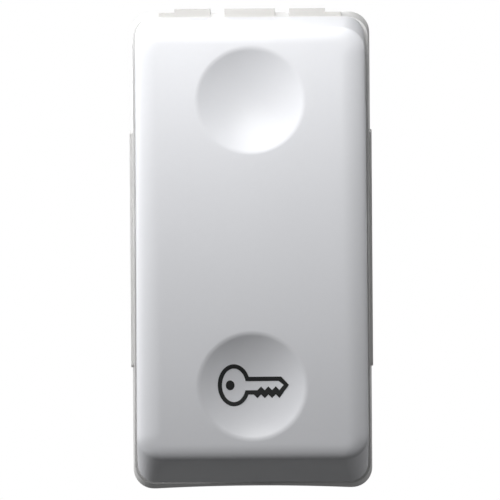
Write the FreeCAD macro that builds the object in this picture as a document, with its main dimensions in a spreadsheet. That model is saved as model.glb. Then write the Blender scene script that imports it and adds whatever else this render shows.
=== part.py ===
"""One-module wall-box pushbutton with a rocking key, as separate pieces.

Millimetres. X is the module's width, Z is up, and Y points into the wall. The origin
is the centre of the module on its seat plane, where the front frame's ledges rest on
the support frame. The key points towards -Y and the terminals towards +Y.
"""

import FreeCAD, Part
import math
import os
import re

import Sketcher

Vector = FreeCAD.Vector
X_AXIS = Vector(1, 0, 0)
Y_AXIS = Vector(0, 1, 0)
Z_AXIS = Vector(0, 0, 1)

doc = FreeCAD.newDocument("PushbuttonSwitch")

# Driving sizes in millimetres and degrees
SIZES = {
    # Module and front frame
    "module_width": 22.5,
    "frame_height": 44.6,
    "frame_corner": 1.9,
    "frame_side_draft": 5.0,
    "frame_end_draft": 12.9,
    "pad_rise": 0.05,
    "pad_top": 11.2,
    "pad_bottom": 10.8,
    "pad_front": 2.6,
    "pad_chamfer": 0.25,
    "tab_front": 2.3,
    "tab_middle_width": 4.7,
    "tab_inner_edge": 3.66,
    "tab_step": 7.0,
    "tab_outer_edge": 8.5,
    "tab_rise": 0.2,
    "tab_low_drop": 0.35,
    "tab_foot": 1.2,
    "relief_width": 18.0,
    "relief_depth": 0.33,
    "collar_wall": 1.0,
    "collar_reach": 3.0,
    "collar_gap": 0.3,
    "collar_corner": 1.8,
    "deck_front": 1.3,
    "deck_thickness": 1.6,
    "support_opening": 41.4,
    "opening_gap": 0.1,
    "support_thickness": 2.1,
    "skirt_depth": 7.0,
    "skirt_wall": 1.25,
    "skirt_corner": 1.5,
    "tooth_width": 4.0,
    "tooth_rise": 0.8,
    "tooth_length": 2.4,
    "tongue_slot": 0.6,
    # Key
    "key_width": 21.2,
    "key_height": 43.0,
    "key_depth": 8.0,
    "key_wall": 1.0,
    "key_end_wall": 1.15,
    "key_side_draft": 1.5,
    "key_end_draft": 15.0,
    "cavity_side_draft": 4.5,
    "cavity_depth": 6.0,
    "key_corner": 1.7,
    "face_corner": 2.3,
    "face_edge_round": 1.85,
    "crown_radius": 400.0,
    "rim_height": 4.5,
    "rim_gap": 0.35,
    "rest_tilt": 4.0,
    "press_tilt": 3.5,
    "dish_spacing": 26.4,
    "dish_radius": 4.8,
    "dish_depth": 1.1,
    "dish_edge_round": 1.2,
    "rib_place": 6.0,
    "rib_thickness": 1.2,
    # Key pictogram
    "mark_right_shift": 0.08,
    "mark_up_shift": 0.43,
    "mark_stroke": 0.38,
    "mark_proud": 0.02,
    "mark_sunk": 0.15,
    "bow_width": 2.91,
    "bow_height": 3.77,
    "bow_place": 1.74,
    "eye_width": 0.78,
    "eye_height": 0.88,
    "eye_place": 2.08,
    "blade_top": 0.755,
    "blade_bottom": 0.835,
    "blade_shoulder": 2.5,
    "blade_tip": 3.19,
    "bit_place": 0.36,
    "bit_pitch": 0.66,
    "bit_depth": 0.335,
    "bit_count": 4,
    # Lever
    "pivot_height": 1.5,
    "trunnion_radius": 1.45,
    "pivot_fit": 0.05,
    "trunnion_bearing": 1.75,
    "trunnion_end_gap": 0.1,
    "lever_side_gap": 0.45,
    "lever_end_gap": 0.7,
    "lever_front": 5.5,
    "lever_thickness": 1.6,
    "cheek_width": 1.8,
    "hub_radius": 2.4,
    "leg_place": 10.5,
    "leg_width": 3.0,
    "leg_thickness": 1.2,
    "leg_inset": 0.8,
    "leg_slot_gap": 0.1,
    "barb_rise": 0.35,
    "barb_height": 0.6,
    "finger_place": 13.0,
    "finger_width": 4.0,
    "finger_tip_radius": 1.0,
    "finger_reach": 0.5,
    "finger_gap": 0.02,
    "stop_gap": 0.05,
    # Plunger and bridge
    "plunger_width": 6.0,
    "plunger_height": 5.0,
    "guide_fit": 0.08,
    "shoulder_gap": 0.1,
    "shoulder_thickness": 1.2,
    "shoulder_overlap": 0.95,
    "stem_radius": 1.6,
    "stem_end": 0.5,
    "spring_pin_radius": 1.2,
    "spring_pin_length": 1.5,
    "contact_spring_length": 4.2,
    "contact_spring_radius": 2.3,
    "contact_wire": 0.45,
    "contact_spring_turns": 3.5,
    "bridge_length": 14.8,
    "bridge_width": 4.0,
    "bridge_thickness": 0.8,
    "bridge_fit": 0.15,
    "retainer_radius": 2.6,
    "retainer_thickness": 0.7,
    "retainer_mouth": 1.8,
    "return_spring_length": 5.7,
    "return_spring_radius": 2.05,
    "return_wire": 0.5,
    "return_spring_turns": 5.0,
    "spring_seat_radius": 2.6,
    "spring_end_gap": 0.03,
    # Contacts and strips
    "contact_place": 6.0,
    "contact_head_radius": 1.4,
    "contact_crown_radius": 1.0,
    "contact_head_height": 0.7,
    "contact_crown_height": 0.25,
    "contact_shank_radius": 0.7,
    "contact_shank_fit": 0.02,
    "contact_upset_radius": 1.1,
    "contact_upset_height": 0.3,
    "closed_contact_gap": 0.02,
    "strip_thickness": 0.8,
    "strip_leg_width": 3.0,
    "strip_leg_end": 1.7,
    "strip_tail_width": 6.0,
    "strip_head_width": 3.4,
    "strip_slot_gap": 0.1,
    # Terminals
    "cage_width": 14.4,
    "cage_wall": 0.8,
    "cage_thread_wall": 1.8,
    "cage_length": 7.0,
    "cage_front": 18.0,
    "wire_space": 2.6,
    "clamp_thickness": 0.8,
    "clamp_gap": 0.2,
    "clamp_side_gap": 0.3,
    "screw_radius": 1.5,
    "screw_fit": 0.05,
    "screw_travel": 2.5,
    "screw_head_radius": 2.6,
    "screw_head_height": 1.5,
    "screw_head_gap": 0.1,
    "screw_slot_width": 0.8,
    "screw_slot_depth": 0.8,
    "screw_hole_gap": 0.3,
    "strip_place": 8.6,
    # Rear housing and cover
    "housing_width": 20.8,
    "housing_height": 40.4,
    "housing_corner": 1.2,
    "housing_rear": 27.0,
    "spigot_gap": 0.1,
    "spigot_wall": 1.2,
    "chamber_rear_gap": 1.4,
    "chamber_side_gap": 0.4,
    "chamber_wall": 1.2,
    "partition_wall": 1.2,
    "floor_thickness": 1.6,
    "tongue_relief": 1.0,
    "bump_width": 2.4,
    "bump_length": 1.6,
    "bump_rise": 0.7,
    "bump_place": 7.4,
    "bump_depth": 5.0,
    "bump_gap": 0.1,
    "cover_thickness": 2.0,
    "cover_plug_depth": 1.0,
    "cover_plug_gap": 0.15,
    "peg_radius": 0.9,
    "peg_fit": 0.03,
    "peg_length": 4.0,
    "peg_spacing_x": 18.2,
    "peg_spacing_z": 26.0,
    "wire_hole_radius": 1.25,
    "wire_funnel_radius": 2.0,
    "wire_funnel_depth": 1.0,
    "wire_spacing": 6.4,
    "panel_depth": 0.6,
    "panel_margin": 1.6,
    "panel_corner": 1.2,
    "clip_width": 5.0,
    "clip_thickness": 0.8,
    "clip_length": 7.0,
    "clip_gap": 0.1,
    "clip_end": 1.2,
    "catch_width": 3.0,
    "catch_length": 1.6,
    "catch_relief": 0.15,
    "gauge_length": 10.0,
    "gauge_width": 1.2,
    "gauge_depth": 0.5,
}

# Places and fits worked out from the driving sizes
LAYOUT = {
    "frame_half_width": "module_width / 2 - pad_rise",
    "frame_half_height": "frame_height / 2",
    "frame_apex": "rim_height - rim_gap",
    "frame_front_half_width": "frame_half_width - frame_apex * tan(frame_side_draft)",
    "frame_front_half_height": "frame_half_height - frame_apex * tan(frame_end_draft)",
    "skirt_half_height": "support_opening / 2 - opening_gap",
    "skirt_inner_half_width": "frame_half_width - skirt_wall",
    "skirt_inner_half_height": "skirt_half_height - skirt_wall",
    "deck_rear": "deck_front + deck_thickness",
    "key_swing": "key_height / 2 * sin(rest_tilt)",
    "collar_front": "rim_height + collar_reach",
    "relief_round": "(relief_width * relief_width / 4 + relief_depth * relief_depth) / (2 * relief_depth)",
    "collar_half_width": "key_width / 2 - key_wall - collar_gap"
                         " - (collar_reach + key_swing) * tan(cavity_side_draft)",
    "collar_half_height": "key_height / 2 - key_end_wall - collar_gap - spigot_gap / 2"
                          " - collar_reach * tan(key_end_draft)",
    "well_half_width": "collar_half_width - collar_wall",
    "well_half_height": "collar_half_height - collar_wall",
    # Key, measured from the pivot axis with the key square to the wall
    "rim_y": "rim_height - pivot_height",
    "face_y": "rim_y + key_depth",
    "ceiling_y": "rim_y + cavity_depth",
    "face_half_width": "key_width / 2 - key_depth * tan(key_side_draft)",
    "face_half_height": "key_height / 2 - key_depth * tan(key_end_draft)",
    "crown_rise": "crown_radius - sqrt(crown_radius * crown_radius - face_half_height * face_half_height)",
    "blank_depth": "key_depth + crown_rise + 1",
    "dish_place": "dish_spacing / 2",
    "dish_face_y": "face_y + crown_rise - crown_radius"
                   " + sqrt(crown_radius * crown_radius - dish_place * dish_place)",
    "dish_ball_radius": "(dish_radius * dish_radius + dish_depth * dish_depth) / (2 * dish_depth)",
    "dish_ball_y": "dish_face_y - dish_depth + dish_ball_radius",
    "lever_half_width": "well_half_width - lever_side_gap",
    "lever_half_height": "well_half_height - lever_end_gap",
    "lever_rear": "lever_front - lever_thickness",
    "leg_outer": "lever_half_width - leg_inset",
    "trunnion_hole_end": "well_half_width + trunnion_bearing",
    "stop_reach": "(deck_front - stop_gap - finger_tip_radius + pivot_height"
                  " - finger_place * sin(rest_tilt)) / cos(rest_tilt)",
    "press_turn": "(rest_tilt + press_tilt) * pi / 180",
    "plunger_travel": "finger_place * press_turn",
    "plunger_front": "finger_reach * cos(rest_tilt) - finger_place * sin(rest_tilt)"
                     " + finger_tip_radius - pivot_height + finger_gap",
    "shoulder_front": "deck_rear + shoulder_gap",
    "shoulder_rear": "shoulder_front + shoulder_thickness",
    "bridge_front": "shoulder_rear + contact_spring_length",
    "bridge_rear": "bridge_front + bridge_thickness",
    "retainer_rear": "bridge_rear + retainer_thickness",
    "stem_rear": "retainer_rear + stem_end",
    "moving_crown": "bridge_rear + contact_head_height",
    "fixed_crown": "moving_crown + plunger_travel + closed_contact_gap",
    "strip_front": "fixed_crown + contact_head_height",
    "floor_front": "strip_front + strip_thickness",
    "spring_seat": "retainer_rear + return_spring_length",
    "cage_inner": "strip_place - cage_wall",
    "strip_outer": "strip_place + strip_thickness",
    "wire_outer": "strip_outer + wire_space",
    "clamp_outer": "wire_outer + clamp_thickness",
    "thread_inner": "clamp_outer + clamp_gap",
    "cage_outer": "thread_inner + cage_thread_wall",
    "cage_rear": "cage_front + cage_length",
    "cage_middle": "cage_front + cage_length / 2",
    "head_inner": "cage_outer + screw_travel + screw_head_gap",
    "head_outer": "head_inner + screw_head_height",
    "cage_inner_half_width": "cage_width / 2 - cage_wall",
    "housing_half_width": "housing_width / 2",
    "housing_half_height": "housing_height / 2",
    "chamber_half_width": "cage_width / 2 + chamber_side_gap",
    "chamber_inner": "cage_inner - chamber_side_gap",
    "chamber_outer": "housing_half_height - chamber_wall",
    "chamber_front": "spring_seat + chamber_rear_gap",
    "core_half_height": "chamber_inner - partition_wall",
    "spigot_half_width": "skirt_inner_half_width - spigot_gap",
    "spigot_half_height": "skirt_inner_half_height - spigot_gap",
    "contact_half_width": "spigot_half_width - spigot_wall",
    "contact_half_height": "spigot_half_height - spigot_wall",
    "cover_rear": "housing_rear + cover_thickness",
    "wire_place": "strip_outer + wire_space / 2",
    "panel_outer_y": "housing_rear - peg_length - panel_margin",
    "panel_inner_z": "clip_width / 2 + clip_gap + panel_margin",
    "panel_outer_z": "housing_half_height - panel_margin",
    "clip_front": "housing_rear - clip_length",
    "clip_floor": "housing_half_width - clip_thickness - clip_gap",
    "catch_front": "clip_front + clip_end + clip_gap",
}


def make_sheet(name, cells):
    """Fill a sheet with one labelled and aliased cell for each entry."""
    sheet = doc.addObject("Spreadsheet::Sheet", name)
    for row, (alias, content) in enumerate(cells.items(), start=1):
        sheet.set(f"A{row}", alias.replace("_", " "))
        sheet.set(f"B{row}", content)
        sheet.setAlias(f"B{row}", alias)
    return sheet


def formula(text):
    """Write a formula in plain size names as an expression on the two sheets."""
    def cell(match):
        word = match.group(0)
        if word in SIZES:
            return f"Sizes.{word}"
        if word in LAYOUT:
            return f"Layout.{word}"
        return word
    return re.sub(r"[a-z]+(?:_[a-z]+)+", cell, str(text))


sizes = make_sheet("Sizes", {alias: str(value) for alias, value in SIZES.items()})
layout = make_sheet("Layout", {alias: "=" + formula(text) for alias, text in LAYOUT.items()})
doc.recompute()


def number(text):
    """The present value of a formula."""
    return float(layout.evalExpression(formula(text)))


def bind(item, **formulas):
    """Tie properties of an object to formulas; two underscores stand for a dot."""
    for name, text in formulas.items():
        item.setExpression(name.replace("__", "."), formula(text))


def place(item, x="0", y="0", z="0"):
    """Tie an object's position to formulas."""
    bind(item, Placement__Base__x=x, Placement__Base__y=y, Placement__Base__z=z)
    return item


def box(name, x, y, z):
    """A box between a low and a high formula along each axis."""
    item = doc.addObject("Part::Box", name)
    bind(item, Length=f"({x[1]}) - ({x[0]})", Width=f"({y[1]}) - ({y[0]})", Height=f"({z[1]}) - ({z[0]})")
    return place(item, x[0], y[0], z[0])


def wide_box(name, half_width, y, z):
    """A box as far to the left as to the right."""
    return box(name, (f"-({half_width})", half_width), y, z)


def centred_box(name, half_width, y, half_height):
    """A box centred on the module's axis, from a front to a rear depth."""
    return box(name, (f"-({half_width})", half_width), y, (f"-({half_height})", half_height))


def turned(item, axis):
    """Lay an upright solid of revolution along an axis."""
    item.Placement = FreeCAD.Placement(Vector(), FreeCAD.Rotation(Z_AXIS, axis))
    return item


def rod(name, axis, radius, start, length):
    """A cylinder along an axis from a start point given as three formulas."""
    item = turned(doc.addObject("Part::Cylinder", name), axis)
    bind(item, Radius=radius, Height=length)
    return place(item, *start)


def cone(name, axis, first_radius, last_radius, start, length):
    """A cone along an axis from a start point given as three formulas."""
    item = turned(doc.addObject("Part::Cone", name), axis)
    bind(item, Radius1=first_radius, Radius2=last_radius, Height=length)
    return place(item, *start)


def ball(name, radius, centre):
    """A sphere at a centre given as three formulas."""
    item = doc.addObject("Part::Sphere", name)
    bind(item, Radius=radius)
    return place(item, *centre)


def fuse(name, *items):
    """One solid of several that touch or cross."""
    item = doc.addObject("Part::MultiFuse", name)
    item.Shapes = list(items)
    item.Refine = True
    return item


def cut(name, base, *tools):
    """A solid less one tool or several."""
    item = doc.addObject("Part::Cut", name)
    item.Base = base
    item.Tool = tools[0] if len(tools) == 1 else fuse(name + "_tools", *tools)
    item.Refine = True
    return item


def common(name, *items):
    """What several solids share."""
    item = doc.addObject("Part::MultiCommon", name)
    item.Shapes = list(items)
    return item


def new_body(name):
    """An empty body and its own origin planes by role."""
    body = doc.addObject("PartDesign::Body", name)
    planes = {plane.Role: plane for plane in body.Origin.OriginFeatures}
    return body, planes


def new_sketch(body, plane, name, offset="0"):
    """A sketch on one of the body's own planes, moved along its normal."""
    sketch = body.newObject("Sketcher::SketchObject", name)
    sketch.AttachmentSupport = [(plane, "")]
    sketch.MapMode = "FlatFace"
    bind(sketch, AttachmentOffset__Base__z=offset)
    return sketch


def constrain(sketch, name, text, *arguments):
    """Add a named distance or radius and tie it to a formula."""
    value = number(text)
    index = sketch.addConstraint(Sketcher.Constraint(*arguments, value))
    sketch.renameConstraint(index, name)
    sketch.setExpression(f"Constraints.{name}", formula(text))


def rounded_rectangle(sketch, half_width, half_height, radius):
    """Four lines and four equal corner arcs, centred on the sketch's origin."""
    w = number(half_width)
    h = number(half_height)
    r = number(radius)
    corners = [(w - r, h - r, 0), (w - r, r - h, 3), (r - w, r - h, 2), (r - w, h - r, 1)]
    ends = [((r - w, h), (w - r, h)), ((w, h - r), (w, r - h)), ((w - r, -h), (r - w, -h)), ((-w, r - h), (-w, h - r))]
    for (start, end), (cx, cy, quarter) in zip(ends, corners):
        sketch.addGeometry(Part.LineSegment(Vector(*start), Vector(*end)))
        circle = Part.Circle(Vector(cx, cy), Z_AXIS, r)
        turn = quarter * math.pi / 2
        sketch.addGeometry(Part.ArcOfCircle(circle, turn, turn + math.pi / 2))
    for side in range(4):
        line = 2 * side
        arc = line + 1
        following = (line + 2) % 8
        sketch.addConstraint(Sketcher.Constraint("Tangent", line, 2, arc, 2))
        sketch.addConstraint(Sketcher.Constraint("Tangent", following, 1, arc, 1))
        sketch.addConstraint(Sketcher.Constraint("Vertical" if side % 2 else "Horizontal", line))
        if side:
            sketch.addConstraint(Sketcher.Constraint("Equal", 1, arc))
    constrain(sketch, "corner", radius, "Radius", 1)
    constrain(sketch, "top", half_height, "DistanceY", -1, 1, 0, 1)
    constrain(sketch, "right", half_width, "DistanceX", -1, 1, 2, 1)
    constrain(sketch, "bottom", half_height, "DistanceY", 4, 1, -1, 1)
    constrain(sketch, "left", half_width, "DistanceX", 6, 1, -1, 1)


def polygon(sketch, points):
    """A closed outline whose corners are pairs of formulas."""
    corners = [Vector(number(x), number(y)) for x, y in points]
    count = len(points)
    for index in range(count):
        sketch.addGeometry(Part.LineSegment(corners[index], corners[(index + 1) % count]))
    for index in range(count):
        sketch.addConstraint(Sketcher.Constraint("Coincident", index, 2, (index + 1) % count, 1))
    for index, (x, y) in enumerate(points):
        for kind, text, value in (("DistanceX", x, corners[index].x), ("DistanceY", y, corners[index].y)):
            if value < 0:
                constrain(sketch, f"{kind}{index}", f"-({text})", kind, index, 1, -1, 1)
            else:
                constrain(sketch, f"{kind}{index}", text, kind, -1, 1, index, 1)


def pad(body, sketch, length, midplane=False):
    """Extrude a sketch along its normal, or half to each side."""
    item = body.newObject("PartDesign::Pad", "pad")
    item.Profile = sketch
    item.Midplane = midplane
    bind(item, Length=length)
    return item


def block(name, half_width, half_height, radius, front, rear):
    """A rounded block from a front to a rear depth."""
    body, planes = new_body(name)
    sketch = new_sketch(body, planes["XZ_Plane"], name + "_outline", f"-({rear})")
    rounded_rectangle(sketch, half_width, half_height, radius)
    pad(body, sketch, f"({rear}) - ({front})")
    return body


def prism(name, points, front, rear):
    """A block with a polygon outline in the XZ plane."""
    body, planes = new_body(name)
    sketch = new_sketch(body, planes["XZ_Plane"], name + "_outline", f"-({rear})")
    polygon(sketch, points)
    pad(body, sketch, f"({rear}) - ({front})")
    return body


def side_prism(name, points, width):
    """A block with a polygon outline in the YZ plane, half to each side."""
    body, planes = new_body(name)
    sketch = new_sketch(body, planes["YZ_Plane"], name + "_outline")
    polygon(sketch, points)
    pad(body, sketch, width, midplane=True)
    return body


def ellipse_disc(name, width, height, centre, depth):
    """An elliptic disc square to Y, between two depths in front of its centre."""
    wire = doc.addObject("Part::Ellipse", name + "_edge")
    bind(wire, MajorRadius=f"({height}) / 2", MinorRadius=f"({width}) / 2")
    wire.Placement = FreeCAD.Placement(Vector(), FreeCAD.Rotation(Z_AXIS, X_AXIS, Y_AXIS, "ZXY"))
    place(wire, *centre)
    disc = doc.addObject("Part::Extrusion", name)
    disc.Base = wire
    disc.DirMode = "Custom"
    disc.Dir = Vector(0, -1, 0)
    disc.Solid = True
    bind(disc, LengthFwd=depth)
    return disc


def tipped(item):
    """Hang a piece of the key on its pivot, tipped as it rests."""
    item.Placement = FreeCAD.Placement(Vector(), FreeCAD.Rotation(X_AXIS, -1))
    bind(item, Placement__Base__y="-pivot_height", Placement__Rotation__Angle="-rest_tilt")
    return item


def edges_where(shape, test):
    """Names of the edges whose middle and end points all pass a test."""
    names = []
    for index, edge in enumerate(shape.Edges, start=1):
        first, last = edge.ParameterRange
        points = [edge.valueAt(first + (last - first) * share) for share in (0.0, 0.5, 1.0)]
        if all(test(point) for point in points):
            names.append(f"Edge{index}")
    return names


def coil(name, radius, wire, turns, start, length):
    """A helical spring along +Y whose wire stays between its two seats."""
    helix = turned(doc.addObject("Part::Helix", name + "_line"), Y_AXIS)
    free = f"({length}) - {wire} - 2 * spring_end_gap"
    bind(helix, Radius=radius, Height=free, Pitch=f"({free}) / {turns}")
    place(helix, start[0], f"{start[1]} + {wire} / 2 + spring_end_gap", start[2])
    section = doc.addObject("Part::Circle", name + "_wire")
    bind(section, Radius=f"{wire} / 2")
    doc.recompute()
    edge = helix.Shape.Edges[0]
    begin = edge.valueAt(edge.ParameterRange[0])
    along = edge.tangentAt(edge.ParameterRange[0])
    section.Placement = FreeCAD.Placement(begin, FreeCAD.Rotation(Z_AXIS, along))
    sweep = doc.addObject("Part::Sweep", name)
    sweep.Sections = [section]
    sweep.Spine = (helix, ["Edge1"])
    sweep.Solid = True
    sweep.Frenet = True
    return sweep


def key_blank():
    """The key cap's shell: drafted walls, crowned face, cavity and two dishes."""
    body, planes = new_body("key_shell")
    square = planes["XZ_Plane"]
    rim = new_sketch(body, square, "key_rim", "rim_y")
    rounded_rectangle(rim, "key_width / 2", "key_height / 2", "key_corner")
    crest = new_sketch(body, square, "key_crest", "rim_y + blank_depth")
    rounded_rectangle(
        crest,
        "key_width / 2 - blank_depth * tan(key_side_draft)",
        "key_height / 2 - blank_depth * tan(key_end_draft)",
        "face_corner",
    )
    walls = body.newObject("PartDesign::AdditiveLoft", "key_walls")
    walls.Profile = rim
    walls.Sections = [crest]
    walls.Ruled = True
    crown = new_sketch(body, planes["YZ_Plane"], "key_crown")
    crown_profile(crown)
    doc.recompute()
    before = walls.Shape.Volume
    face = body.newObject("PartDesign::Pocket", "key_face")
    face.Profile = crown
    face.Midplane = True
    bind(face, Length="key_width * 2")
    doc.recompute()
    if face.Shape.Volume > before - 1:
        raise RuntimeError("the crown cut nothing")

    radius = number("crown_radius")
    middle = number("face_y + crown_rise - crown_radius")
    def on_face(point):
        return abs(math.hypot(point.y + middle, point.z) - radius) < 1e-3 and point.y < 0
    rounding = body.newObject("PartDesign::Fillet", "face_rounding")
    rounding.Base = (face, edges_where(face.Shape, on_face))
    bind(rounding, Radius="face_edge_round")
    doc.recompute()

    mouth = new_sketch(body, square, "cavity_mouth", "rim_y")
    rounded_rectangle(mouth, "key_width / 2 - key_wall", "key_height / 2 - key_end_wall", "key_corner - key_wall")
    ceiling = new_sketch(body, square, "cavity_ceiling", "ceiling_y")
    rounded_rectangle(
        ceiling,
        "key_width / 2 - key_wall - cavity_depth * tan(cavity_side_draft)",
        "key_height / 2 - key_end_wall - cavity_depth * tan(key_end_draft)",
        "face_corner - key_wall",
    )
    cavity = body.newObject("PartDesign::SubtractiveLoft", "key_cavity")
    cavity.Profile = mouth
    cavity.Sections = [ceiling]
    cavity.Ruled = True

    for side, sign in (("upper", ""), ("lower", "-")):
        dish = body.newObject("PartDesign::SubtractiveSphere", side + "_dish")
        bind(dish, Radius="dish_ball_radius")
        place(dish, "0", "-dish_ball_y", sign + "dish_place")
    doc.recompute()
    dished = body.Tip
    reach = number("dish_radius")
    step = number("dish_place")
    def on_dish(point):
        away = math.hypot(point.x, abs(point.z) - step)
        return abs(away - reach) < reach / 5 and point.y < -number("face_y")
    softening = body.newObject("PartDesign::Fillet", "dish_rounding")
    softening.Base = (dished, edges_where(dished.Shape, on_dish))
    bind(softening, Radius="dish_edge_round")
    return body


def crown_profile(sketch):
    """The region in front of the crowned face, in the YZ plane."""
    radius = number("crown_radius")
    apex = number("face_y + crown_rise")
    high = number("key_height / 2")
    lift = math.asin(high / radius)
    circle = Part.Circle(Vector(radius - apex, 0), Z_AXIS, radius)
    arc = Part.ArcOfCircle(circle, math.pi - lift, math.pi + lift)
    sketch.addGeometry(arc)
    back = arc.StartPoint.x
    front = -number("face_y + crown_rise + 4")
    top = Vector(front, high)
    bottom = Vector(front, -high)
    sketch.addGeometry(Part.LineSegment(Vector(back, high), top))
    sketch.addGeometry(Part.LineSegment(top, bottom))
    sketch.addGeometry(Part.LineSegment(bottom, Vector(back, -high)))
    for first, first_end, second, second_end in ((0, 1, 1, 1), (1, 2, 2, 1), (2, 2, 3, 1), (3, 2, 0, 2)):
        sketch.addConstraint(Sketcher.Constraint("Coincident", first, first_end, second, second_end))
    sketch.addConstraint(Sketcher.Constraint("Horizontal", 1))
    sketch.addConstraint(Sketcher.Constraint("Vertical", 2))
    sketch.addConstraint(Sketcher.Constraint("Horizontal", 3))
    constrain(sketch, "crown", "crown_radius", "Radius", 0)
    sketch.addConstraint(Sketcher.Constraint("PointOnObject", 0, 3, -1))
    constrain(sketch, "centre", "crown_radius - face_y - crown_rise", "DistanceX", -1, 1, 0, 3)
    constrain(sketch, "front", "face_y + crown_rise + 4", "DistanceX", 2, 1, -1, 1)
    constrain(sketch, "high", "key_height / 2", "DistanceY", -1, 1, 2, 1)
    constrain(sketch, "low", "key_height / 2", "DistanceY", 2, 2, -1, 1)


def pictogram_parts():
    """The key pictogram's outline bodies, long enough to cross the dish's skin."""
    tips = [f"bit_place + {index} * bit_pitch" for index in range(int(SIZES["bit_count"]))]
    gaps = [f"bit_place + {index + 0.5} * bit_pitch" for index in range(len(tips) - 1)]
    outer = [("-bow_place", "blade_top"), ("blade_shoulder", "blade_top"), ("blade_tip", "0")]
    inner_top = "blade_top - mark_stroke"
    inner_bottom = "-(blade_bottom - mark_stroke)"
    inner = [
        ("-bow_place", inner_top),
        ("blade_shoulder - mark_stroke * 0.6", inner_top),
        ("blade_tip - mark_stroke * 1.25", "0"),
    ]
    for index in reversed(range(len(tips))):
        outer.append((tips[index], "-(blade_bottom + bit_depth)"))
        inner.append((tips[index], inner_bottom))
        if index:
            outer.append((gaps[index - 1], "-blade_bottom"))
            inner.append((gaps[index - 1], f"{inner_bottom} + bit_depth"))
    outer.append((f"{tips[0]} - bit_pitch / 2", "-blade_bottom"))
    outer.append(("-bow_place", "-blade_bottom"))
    inner.append(("-bow_place", inner_bottom))
    shift_x = "mark_right_shift"
    shift_z = "mark_up_shift - dish_place"
    outer = [(f"{x} + {shift_x}", f"{z} + {shift_z}") for x, z in outer]
    inner = [(f"{x} + {shift_x}", f"{z} + {shift_z}") for x, z in inner]
    front = "-(dish_face_y + 1)"
    rear = "-(dish_face_y - dish_depth - 1)"
    bow = (f"{shift_x} - bow_place", rear, shift_z)
    eye = (f"{shift_x} - eye_place", rear, shift_z)
    depth = f"({rear}) - ({front})"
    solid = fuse(
        "key_outline",
        prism("blade_outer", outer, front, rear),
        ellipse_disc("bow_outer", "bow_width", "bow_height", bow, depth),
    )
    hollow = fuse(
        "key_hollow",
        prism("blade_inner", inner, front, rear),
        ellipse_disc(
            "bow_inner",
            "bow_width - 2 * mark_stroke",
            "bow_height - 2 * mark_stroke",
            bow,
            depth,
        ),
    )
    stroke = cut("key_stroke", solid, hollow)
    drawing = fuse("key_drawing", stroke, ellipse_disc("key_eye", "eye_width", "eye_height", eye, depth))
    centre = ("0", "-dish_ball_y", "-dish_place")
    skin = cut(
        "mark_skin",
        ball("mark_skin_outer", "dish_ball_radius + mark_sunk", centre),
        ball("mark_skin_inner", "dish_ball_radius - mark_proud", centre),
    )
    return drawing, skin


def make_key():
    """The key cap and its pictogram."""
    drawing, skin = pictogram_parts()
    ink = common("mark_ink", drawing, skin)
    pieces = [key_blank()]
    for side, place_z in (("upper", "rib_place"), ("lower", "-rib_place")):
        pieces.append(wide_box(
            side + "_rib",
            "lever_half_width",
            ("-ceiling_y - 0.1", "-lever_front"),
            (f"{place_z} - rib_thickness / 2", f"{place_z} + rib_thickness / 2"),
        ))
    for side, sign in (("left", -1), ("right", 1)):
        for end, direction in (("upper", ""), ("lower", "-")):
            low = f"{direction}leg_place - leg_width / 2"
            high = f"{direction}leg_place + leg_width / 2"
            inner = "leg_outer - leg_thickness"
            outer = "leg_outer"
            barb = "leg_outer + barb_rise"
            span = (inner, outer) if sign > 0 else (f"-({outer})", f"-({inner})")
            hook = (inner, barb) if sign > 0 else (f"-({barb})", f"-({inner})")
            name = f"{end}_{side}"
            pieces.append(box(name + "_leg", span, ("-ceiling_y - 0.1", "-lever_rear"), (low, high)))
            pieces.append(box(name + "_barb", hook, ("-lever_rear", "barb_height - lever_rear"), (low, high)))
    shell = fuse("key_with_legs", *pieces)
    cap = tipped(cut("key_cap", shell, ink))
    symbol = tipped(common("key_symbol", drawing, skin))
    return [cap, symbol]


def make_lever():
    """The rocker lever with its hub, trunnions, push finger and stop finger."""
    solid = [
        centred_box("lever_plate", "lever_half_width", ("-lever_front", "-lever_rear"), "lever_half_height"),
    ]
    for side, direction in (("left", "-"), ("right", "")):
        near = "lever_half_width - cheek_width"
        span = (near, "lever_half_width") if not direction else ("-lever_half_width", f"-({near})")
        solid.append(box(side + "_cheek", span, ("-lever_rear", "0"), ("-hub_radius", "hub_radius")))
        solid.append(rod(side + "_hub", X_AXIS, "hub_radius", (span[0], "0", "0"), "cheek_width"))
        start = "lever_half_width" if not direction else "trunnion_end_gap - trunnion_hole_end"
        solid.append(rod(
            side + "_trunnion",
            X_AXIS,
            "trunnion_radius",
            (start, "0", "0"),
            "trunnion_hole_end - trunnion_end_gap - lever_half_width",
        ))
    for name, centre, reach in (
        ("push_finger", "-finger_place", "finger_reach"),
        ("stop_finger", "finger_place", "stop_reach"),
    ):
        solid.append(wide_box(
            name,
            "finger_width / 2",
            ("-lever_rear", reach),
            (f"{centre} - finger_tip_radius", f"{centre} + finger_tip_radius"),
        ))
        solid.append(rod(
            name + "_tip",
            X_AXIS,
            "finger_tip_radius",
            ("-finger_width / 2", reach, centre),
            "finger_width",
        ))
    slots = []
    for side, direction in (("left", "-"), ("right", "")):
        for end, sign in (("upper", ""), ("lower", "-")):
            near = "leg_outer - leg_thickness - leg_slot_gap"
            far = "leg_outer + leg_slot_gap"
            span = (near, far) if not direction else (f"-({far})", f"-({near})")
            slots.append(box(
                f"{end}_{side}_slot",
                span,
                ("-lever_front - 1", "1 - lever_rear"),
                (f"{sign}leg_place - leg_width / 2 - leg_slot_gap", f"{sign}leg_place + leg_width / 2 + leg_slot_gap"),
            ))
    return [tipped(cut("rocker_lever", fuse("lever_solid", *solid), *slots))]


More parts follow.
